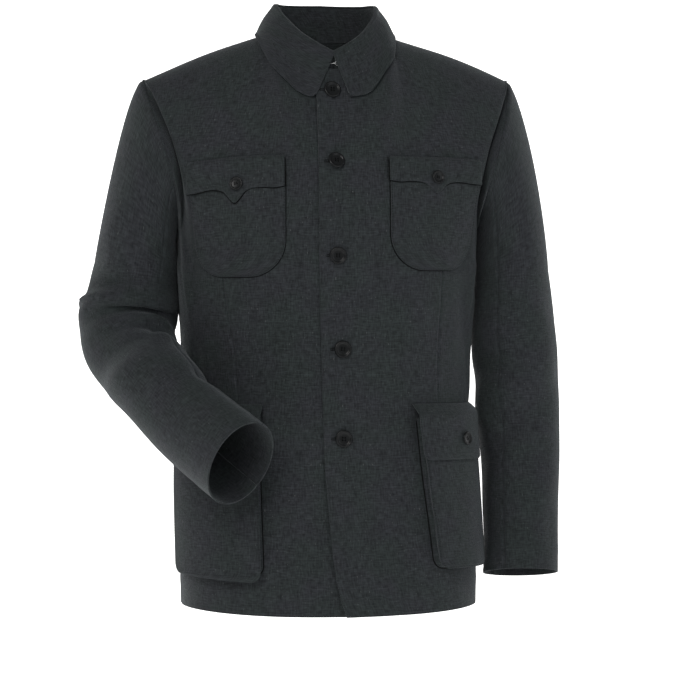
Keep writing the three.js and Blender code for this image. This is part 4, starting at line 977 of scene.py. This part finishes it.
# the left ones as they hang: shorter flap, lower pocket aslant and flatter toward the side
leftOnes = {
    "chestPocket": {**chestPocket, "bottom": -309},
    "chestFlap": {**chestFlap, "outerFall": 5, "share": 0.79, "buttonDrop": 28, "lift": 1.4},
    "lowerPocket": {**lowerPocket, "bottom": -688, "width": 120, "slant": 0.11, "flat": 0.36},
    "lowerFlap": {**lowerFlap, "width": 128, "slant": 0.11, "flat": 0.36},
}
rightOnes = {
    "chestPocket": {**chestPocket, "inner": 68, "width": 126},
    "chestFlap": {**chestFlap, "inner": 68.5, "width": 127.5},
    "lowerPocket": {**lowerPocket, "innerSag": 7}, "lowerFlap": lowerFlap,
}
edgeWork = {
    "roll": 0.55, "ridge": 0.40, "ridgeAt": 4.5, "stitchIn": 1.5,
    # the settings below place and size the dark cords that paint shade lines beside pocket and flap edges
    "shadeCordOut": 0.45, "shadeCordRadius": 0.55, "lowerShadeCord": 0.8,
}


def edgeRoll(near):  # the turned edge dips, and the seam allowance inside stands up a little
    return -edgeWork["roll"] * bell(near, 1.0) + edgeWork["ridge"] * bell(near - edgeWork["ridgeAt"], 2.6)


def slide(size, height):  # how far a pocket has moved along the cloth by a height
    return size.get("slant", 0) * (lowerFlap["top"] - height)


def flatness(size, share):
    return 1 - size.get("flat", 0) * smooth(share, 0.45, 1)


def cornerInset(size, height):
    low = np.clip((size["bottom"] + size["corner"] - height) / size["corner"], 0, 0.999)
    return size["corner"] * (1 - np.sqrt(1 - low ** 2))


def patchGrid(side, size, heights, proud):
    shares = np.r_[0, 0.006, 0.016, 0.03, np.linspace(0.045, 0.955, 34), 0.97, 0.984, 0.994, 1]
    share = shares[:, None]
    height = heights[None, :]
    inset = cornerInset(size, height)
    across = inset + (size["width"] - 2 * inset) * share
    length = size["inner"] + slide(size, height) + across
    near = np.minimum(np.minimum(share, 1 - share) * (size["width"] - 2 * inset), height - size["bottom"])
    lift = proud(size, across / size["width"], height) + size["wall"] + edgeRoll(near)
    down = (size["top"] - height) / (size["top"] - size["bottom"])
    return onFront(side, length, height - size.get("innerSag", 0) * (1 - share) * down ** 2, lift)


def patchHeights(size):
    corner = size["corner"]
    straight = spaced(size["top"], size["bottom"] + corner, 4.0, (0.8, 2.0))
    turned = size["bottom"] + corner * (1 - np.sin(np.linspace(0, halfTurn, 17)[1:]))
    return np.r_[straight, turned]


def patchLine(side, size, proud, inward):  # a line all round a patch, but not its top
    corner = size["corner"] - inward
    left, right = size["inner"] + inward, size["inner"] + size["width"] - inward
    low = size["bottom"] + inward
    path = [(left, h) for h in np.arange(size["top"] - 4, low + corner, -4.0)]
    path += [(left + corner * (1 - math.cos(a)), low + corner * (1 - math.sin(a)))
             for a in np.linspace(0, halfTurn, 10)]
    path += [(x, low) for x in np.arange(left + corner + 4, right - corner, 4.0)]
    path += [(right - corner * (1 - math.sin(a)), low + corner * (1 - math.cos(a)))
             for a in np.linspace(0, halfTurn, 10)]
    path += [(right, h) for h in np.arange(low + corner + 4, size["top"] - 3, 4.0)]
    path = np.array(path)
    out = proud(size, (path[:, 0] - size["inner"]) / size["width"], path[:, 1])
    return onFront(side, path[:, 0] + slide(size, path[:, 1]), path[:, 1], out + size["wall"] + 0.15)


def chestProud(size, share, height):  # the patch swells a little between its seams, more at the mouth
    middle = np.sin(np.pi * np.clip(share, 0, 1))
    return size["proud"] + middle * (0.4 + 0.9 * smooth(height, -260, -175))


def lowerProud(size, share, height):
    belly = 1.8 * np.sin(np.pi * np.clip(share, 0, 1)) * (1 - smooth(height, -600, -480))
    soft = 0.8 * np.sin(5.2 * share + 0.018 * height) * np.sin(np.pi * np.clip(share, 0, 1))
    return size["depth"] * flatness(size, share) + 0.3 + belly + soft


shadeCordLines = {}  # lines for dark cords beside turned pocket and flap edges, painting the shade lines those edges cast


def chestFlapPiece(side, size, name):
    shares = np.r_[0, 0.006, 0.016, 0.03, np.linspace(0.05, 0.95, 46), 0.97, 0.984, 0.994, 1][:, None]
    downs = np.r_[np.linspace(0, 0.94, 24), 0.965, 0.985, 1][None, :]
    drop = curveAt(size["drop"], shares)["drop"] * size["share"]
    height = size["top"] - size["outerFall"] * shares ** 2 - drop * downs
    near = np.minimum(np.minimum(shares, 1 - shares) * size["width"], drop * (1 - downs))
    tip = size["lift"] * downs ** 2 * shares ** 1.6
    lifted = 1 + (size["proud"] - 1) * smooth(drop * downs, 0, 5) + tip
    wave = 0.7 * np.sin(9 * shares + (0 if side > 0 else 1.7)) * downs ** 2
    length = size["inner"] + size["width"] * shares + 0 * downs
    place, normal = onFront(side, length, height, lifted + size["wall"] + edgeRoll(near) + wave)
    # a dark cord just under the flap's inner and lower edges paints the shadow the flap casts
    inner = place[0, 3:] - np.array([0.5 * side, 0, 0]) - normal[0, 3:] * (size["wall"] + 0.3)
    under = place[1:, -1] - np.array([0, 0, 0.6]) - normal[1:, -1] * (size["wall"] + 0.3)
    shadeCordLines[name.replace("Flap", "FlapShadeCord")] = np.concatenate([inner, under])
    return clothPiece(name, place, normal, size["wall"], [f"chest_flap_{'left' if side > 0 else 'right'}"])


def lowerFlapPiece(side, size, name):
    shares = np.r_[0, 0.006, 0.016, 0.03, np.linspace(0.05, 0.95, 30), 0.97, 0.984, 0.994, 1][:, None]
    steps = rows("drop out", [(0, 0.8), (6, 8), (12, 15), (18, 17.2), (34, 17.2), (50, 17.2), (73, 17.2)])
    bottom = size["corner"]
    heights = np.r_[size["top"] - spaced(0, 63, 2.4), size["bottom"] + bottom * (1 - np.sin(
        np.linspace(0, halfTurn, 10)[1:]))][None, :]
    out = np.interp(size["top"] - heights, steps["drop"], steps["out"])
    out = out + 0.6 * bell(size["top"] - heights - 15, 5)
    inset = cornerInset(size, heights)
    across = inset + (size["width"] - 2 * inset) * shares
    length = size["inner"] + slide(size, heights) + across
    fall = smooth(size["top"] - heights, 0, 18)
    flat = 1 - fall + fall * flatness(size, across / size["width"])
    out = out * flat + 1.2 * (1 - flat)
    near = np.minimum(np.minimum(shares, 1 - shares) * (size["width"] - 2 * inset), heights - size["bottom"])
    sag = 1.5 * np.sin(np.pi * shares) * smooth(size["top"] - heights, 18, 60)
    wave = 0.6 * np.sin(8 * shares + side) * smooth(size["top"] - heights, 30, 73)
    place, normal = onFront(side, length, np.broadcast_to(heights, length.shape),
                            out + sag + wave + size["wall"] + edgeRoll(near))
    return clothPiece(name, place, normal, size["wall"], [f"lower_flap_{'left' if side > 0 else 'right'}"])


def gussetPiece(side, size, name):
    corner, left, right = size["corner"], size["inner"], size["inner"] + size["width"]
    low = size["bottom"]
    path = [(left, h, 1, 0) for h in spaced(size["top"], low + corner, 5)[:-1]]
    path += [(left + corner * (1 - math.cos(a)), low + corner * (1 - math.sin(a)), math.cos(a), math.sin(a))
             for a in np.linspace(0, halfTurn, 9)]
    path += [(x, low, 0, 1) for x in spaced(left + corner, right - corner, 5)[1:-1]]
    path += [(right - corner * (1 - math.sin(a)), low + corner * (1 - math.cos(a)), -math.sin(a), math.cos(a))
             for a in np.linspace(0, halfTurn, 9)]
    path += [(right, h, -1, 0) for h in spaced(low + corner, size["top"], 5)[1:]]
    path = np.array(path)
    share = np.linspace(0, 1, 11)
    deep = size["depth"] * flatness(size, (path[:, :1] - left) / size["width"])
    outs = 0.7 + (deep - 0.9) * share
    fold = 3.4 * np.sin(np.pi * share) ** 1.3
    wobble = 0.5 * np.sin(np.arange(len(path)) * 0.55)
    move = fold[None, :] * (1 + 0.25 * wobble[:, None]) + 0.2
    height = path[:, 1:2] + path[:, 3:4] * move
    length = path[:, :1] + path[:, 2:3] * move + slide(size, height)
    place, normal = onFront(side, length, height, outs)
    centre, _ = onFront(side, (left + right) / 2 + slide(size, -590), (size["top"] + low) / 2, 5.0)
    node = f"lower_gusset_{'left' if side > 0 else 'right'}"
    return clothPiece(name, place, place - centre, size["wall"], [node])


for side, hand, ones in ((1, "Left", leftOnes), (-1, "Right", rightOnes)):
    node = hand.lower()
    for kind, proud in (("chestPocket", chestProud), ("lowerPocket", lowerProud)):
        size = ones[kind]
        grid = patchGrid(side, size, patchHeights(size), proud)
        replaced = kind.replace("Pocket", "_pocket_") + node
        clothPiece(kind + hand, *grid, size["wall"], [replaced])
    gussetPiece(side, ones["lowerPocket"], "lowerGusset" + hand)
    chestFlapPiece(side, ones["chestFlap"], "chestFlap" + hand)
    lowerFlapPiece(side, ones["lowerFlap"], "lowerFlap" + hand)
print("pockets and flaps sewn on")


# stitching, and dark cords painting the shade lines along pocket and flap edges

for side, hand, ones in ((1, "Left", leftOnes), (-1, "Right", rightOnes)):
    for kind, proud in (("chestPocket", chestProud), ("lowerPocket", lowerProud)):
        line, normals = patchLine(side, ones[kind], proud, edgeWork["stitchIn"])
        stitchRow(kind + "Stitch" + hand, line, normals)
        atPanel = lambda size, share, height: 0.35 - size["wall"]
        # a dark cord just outside the patch edge, on the panel, paints the shade line under that edge
        shadeCordLines[kind + "ShadeCord" + hand] = patchLine(side, ones[kind], atPanel, -edgeWork["shadeCordOut"])[0]
# each painted shade line is made as a dark thread cord, thicker beside the lower pockets
for name, line in shadeCordLines.items():
    radius = edgeWork["lowerShadeCord" if name.startswith("lower") else "shadeCordRadius"]
    keep(name, meshOf(name, *tubes([line], radius, 6)), "thread")
print("edges stitched")


# buttons

buttonSizes = {"front": {"radius": 11.0, "thick": 3.4}, "small": {"radius": 8.7, "thick": 3.0}}
buttonShape = [  # radius and height as shares
    (0, 0), (0.66, 0), (0.80, 0.10), (0.93, 0.30), (1.0, 0.52), (1.0, 0.66), (0.965, 0.86), (0.915, 0.97),
    (0.86, 1.0), (0.80, 0.97), (0.75, 0.87), (0.70, 0.73), (0.64, 0.64), (0.55, 0.60), (0.3, 0.585),
    (0, 0.58)]
holes = {"radius": 0.085, "away": 0.22, "sides": 14}
frontButtons = [  # height, length across from the centre, turn, tilt, proud
    (-80, -5, 4, 2, 1.0), (-172, -4, 12, -14, 2.9), (-291, -2, 2, 4, 1.0), (-409, 4, -5, -3, 1.0),
    (-522, 5, 3, 3, 1.0)]


def circle(radius, height, sides, x=0.0, y=0.0):
    angles = [2 * math.pi * s / sides for s in range(sides)]
    return [(x + radius * math.cos(a), y + radius * math.sin(a), height) for a in angles]


def lathe(shape, radius, thick, sides=56):
    points, faces = [], []
    ring = []
    for r, h in shape:
        if r == 0:
            ring.append([len(points)])
            points.append((0, 0, h * thick))
            continue
        ring.append(list(range(len(points), len(points) + sides)))
        points += circle(r * radius, h * thick, sides)
    for a, b in zip(ring, ring[1:]):
        for s in range(sides):
            n = (s + 1) % sides
            if len(a) == 1:
                faces.append((a[0], b[n], b[s]))
            elif len(b) == 1:
                faces.append((a[s], a[n], b[0]))
            else:
                faces.append((a[s], a[n], b[n], b[s]))
    return np.array(points, float), faces


def drilled(obj, radius, thick):  # four holes through the middle
    points, faces = [], []
    sides = holes["sides"]
    for k in range(4):
        angle = math.radians(45 + 90 * k)
        x, y = (holes["away"] * radius * f(angle) for f in (math.cos, math.sin))
        start = len(points)
        for z in (-thick, 2 * thick):
            points += circle(holes["radius"] * radius, z, sides, x, y)
        faces += [(start + s, start + (s + 1) % sides, start + sides + (s + 1) % sides, start + sides + s)
                  for s in range(sides)]
        faces.append(tuple(start + s for s in range(sides))[::-1])
        faces.append(tuple(start + sides + s for s in range(sides)))
    drill = bpy.data.objects.new("drill", meshOf("drill", np.array(points), faces))
    bpy.context.scene.collection.objects.link(drill)
    cut = obj.modifiers.new("holes", "BOOLEAN")
    cut.object = drill
    cut.operation = "DIFFERENCE"
    cut.solver = "EXACT"
    bpy.context.view_layer.update()
    done = bpy.data.meshes.new_from_object(obj.evaluated_get(bpy.context.evaluated_depsgraph_get()))
    obj.modifiers.clear()
    obj.data = done
    bpy.data.objects.remove(drill)


def setting(point, normal, out, turn=0.0, tilt=0.0):  # from a button's own space to its place, in metres
    face = Vector((0, 0, 1)).rotation_difference(Vector(normal)).to_matrix().to_4x4()
    spot = Matrix.Translation(Vector(point + normal * out) * mm)
    leaning = Matrix.Rotation(math.radians(tilt), 4, "X")
    turned = Matrix.Rotation(math.radians(turn), 4, "Z")
    return spot @ leaning @ face @ turned


def buttonPiece(name, node, kind, place, out, turn=0.0, tilt=0.0):
    size = buttonSizes[kind]
    radius, thick = size["radius"], size["thick"]
    points, faces = lathe(buttonShape, radius, thick)
    disc = keep(name, meshOf(name, points, faces), "button", [node])
    drilled(disc, radius, thick)
    point, normal = (np.asarray(v, float).reshape(3) for v in place)
    spot = setting(point, normal, out, turn, tilt)
    disc.data.transform(spot)
    disc.data.set_sharp_from_angle(angle=math.radians(40))
    away = holes["away"] * radius * 0.7071
    top = thick * 0.66
    paths = []
    for x in (-away, away):
        for dx in (-0.22, 0.22):
            up = [(-away, -out), (-away, top * 0.8), (-away * 0.7, top + 0.25), (0, top + 0.42)]
            paths.append([(x + dx, y, z) for y, z in up + [(-y, z) for y, z in up[-2::-1]]])
    points, faces = tubes(paths, 0.24, 6, 1.0)
    thread = keep(name + "Thread", meshOf(name + "Thread", points, faces), "thread")
    thread.data.transform(spot)
    return disc, thread


def buttonhole(name, place, look="thread", start=-14.5, end=5.0):  # worked slot behind a button
    height, length = place
    paths = []
    count = 26
    for k in range(count):
        x = length + start + (end - start) * (k + 0.5) / count
        for way in (-1, 1):
            spots, ways = onFront(1, np.array([x, x, x]), height + way * np.array([0.35, 1.2, 2.1]), 0.0)
            paths.append(spots + ways * np.array([0.05, 0.42, 0.02])[:, None])
    for way in (-0.8, -0.4, 0, 0.4, 0.8):  # bar across the end
        x = length + start - 0.4 - 0.3 * math.cos(way * 2)
        heights = height + np.array([-2.0, 0.0, 2.0]) + way * 0.2
        spots, ways = onFront(1, np.array([x, x - 0.3, x]) - abs(way) * 0.2, heights, 0.0)
        paths.append(spots + ways * np.array([0.05, 0.5, 0.05])[:, None])
    points, faces = tubes(paths, 0.30, 5, 0.8)
    return keep(name, meshOf(name, points, faces), look)


def straight(side, length, height):  # place on the cloth without its fine creases
    place = roundAt(np.array([length]), height)
    return frontPoint(side, place, riseAt(place, height), 0.0, fine=False)


for k, (height, length, turn, tilt, out) in enumerate(frontButtons):
    place = straight(1, length, height)
    buttonPiece(f"frontButton{k + 1}", f"front_button_{k + 1}", "front", place, out, turn, tilt)
    buttonhole(f"buttonhole{k + 1}", (height, length))
for side, hand, ones in ((1, "Left", leftOnes), (-1, "Right", rightOnes)):
    flap = ones["chestFlap"]
    place = straight(side, chestFlap["inner"] + chestFlap["width"] / 2, flap["top"] - flap["buttonDrop"])
    buttonPiece("chestButton" + hand, "chest_button_" + hand.lower(), "small", place,
                flap["proud"] + flap["wall"] + 1, 10 * side)
    flap = ones["lowerFlap"]
    height = flap["top"] - flap["buttonDrop"]
    place = straight(side, flap["inner"] + slide(flap, height) + flap["width"] / 2, height)
    buttonPiece("lowerButton" + hand, "lower_button_" + hand.lower(), "small", place,
                flap["proud"] * flatness(flap, 0.5) + flap["wall"] + 2.2, -8 * side)
print("buttons on")


# hook and eye

hook = {"width": 7, "height": -43, "depth": 88.4, "radius": 0.45}


def wirePiece(name, node, points):
    line = throughPoints([np.array([p], float) for p in points], np.linspace(0, len(points) - 1, 28))[0]
    spots, faces = tubes([line], hook["radius"], 10, 0.8)
    return keep(name, meshOf(name, spots, faces), "metal", [node])


w, d, h = hook["width"], hook["depth"], hook["height"]
wirePiece("collarHook", "collar_hook", [
    (-w, -d + 0.9, h), (-w * 0.3, -d - 1, h), (w * 0.2, -d - 1.8, h),
    (w * 0.45, -d - 1.5, h), (w * 0.5, -d - 0.6, h)])
wirePiece("collarEye", "collar_eye", [
    (w, -d, h + 2.2), (w * 0.45, -d - 0.2, h + 2.2), (w * 0.14, -d - 0.3, h), (w * 0.45, -d - 0.2, h - 2.2),
    (w, -d, h - 2.2)])


# each front's pocket and flap sizes are looked up here, and nothing is made from them


for hand, panel, ones in (("Left", frontLeft, leftOnes), ("Right", frontRight, rightOnes)):
    pocket, lower, flap = ones["chestPocket"], ones["lowerPocket"], ones["chestFlap"]


# floor, light, camera

studio = {
    "floor": -1.48, "wall": 4.4, "front": 6.5, "side": 7.0, "bend": 1.2, "high": 4.5,
    "sky": 0.34,
    "lamps": [  # name, place, aim, size, watts, colour
        ("keyLight", (-1.5, -3.6, 1.5), (0, 0, -0.35), 2.0, 128, (1.0, 0.99, 0.97)),
        ("fillLight", (2.4, -3.2, 0.4), (0, 0, -0.4), 2.4, 40, (0.93, 0.97, 1.0)),
        ("sideLeft", (-2.6, 0.9, 0.1), (-0.15, 0, -0.35), 1.6, 18, (1, 1, 1)),
        ("sideRight", (2.6, 0.9, 0.1), (0.15, 0, -0.35), 1.6, 18, (0.97, 0.99, 1.0))],
}
camera = {"azimuth": -8.0, "distance": 3.2, "aim": (0.0325, -0.0045, -0.410), "lens": 125.0}


def makeStage():
    path = [(-studio["front"], studio["floor"])]
    bend, wall, floor = studio["bend"], studio["wall"], studio["floor"]
    path += [(wall - bend + bend * math.sin(a), floor + bend * (1 - math.cos(a)))
             for a in np.linspace(0, halfTurn, 17)]
    path.append((wall, floor + studio["high"]))
    points = np.array([(x, y, z) for x in (-studio["side"], studio["side"]) for y, z in path]) / mm
    n = len(path)
    faces = [(k, k + 1, n + k + 1, n + k)[::-1] for k in range(n - 1)]
    obj = bpy.data.objects.new("paleFloor", meshOf("paleFloor", points, faces))
    bpy.context.scene.collection.objects.link(obj)
    obj.data.materials.append(makePaper())


def makeLight():
    world = bpy.data.worlds.new("softSky")
    bpy.context.scene.world = world
    world.use_nodes = True
    sky = world.node_tree.nodes["Background"]
    sky.inputs["Color"].default_value = (1, 1, 1, 1)
    sky.inputs["Strength"].default_value = studio["sky"]
    for name, place, aim, size, watts, colour in studio["lamps"]:
        lamp = bpy.data.lights.new(name, "AREA")
        lamp.size = size
        lamp.energy = watts
        lamp.color = colour
        obj = bpy.data.objects.new(name, lamp)
        obj.location = place
        obj.rotation_euler = (Vector(aim) - Vector(place)).to_track_quat("-Z", "Y").to_euler()
        bpy.context.scene.collection.objects.link(obj)


def makeCamera():
    data = bpy.data.cameras.new("camera")
    data.lens = camera["lens"]
    data.sensor_width = 36
    obj = bpy.data.objects.new("camera", data)
    turn = math.radians(camera["azimuth"])
    away = Vector((math.sin(turn), -math.cos(turn), 0))
    obj.location = Vector(camera["aim"]) + away * camera["distance"]
    obj.rotation_euler = (-away).to_track_quat("-Z", "Y").to_euler()
    bpy.context.scene.collection.objects.link(obj)
    bpy.context.scene.camera = obj


makeStage()
makeLight()
makeCamera()
bpy.context.scene.view_settings.view_transform = "Standard"
print("studio ready")
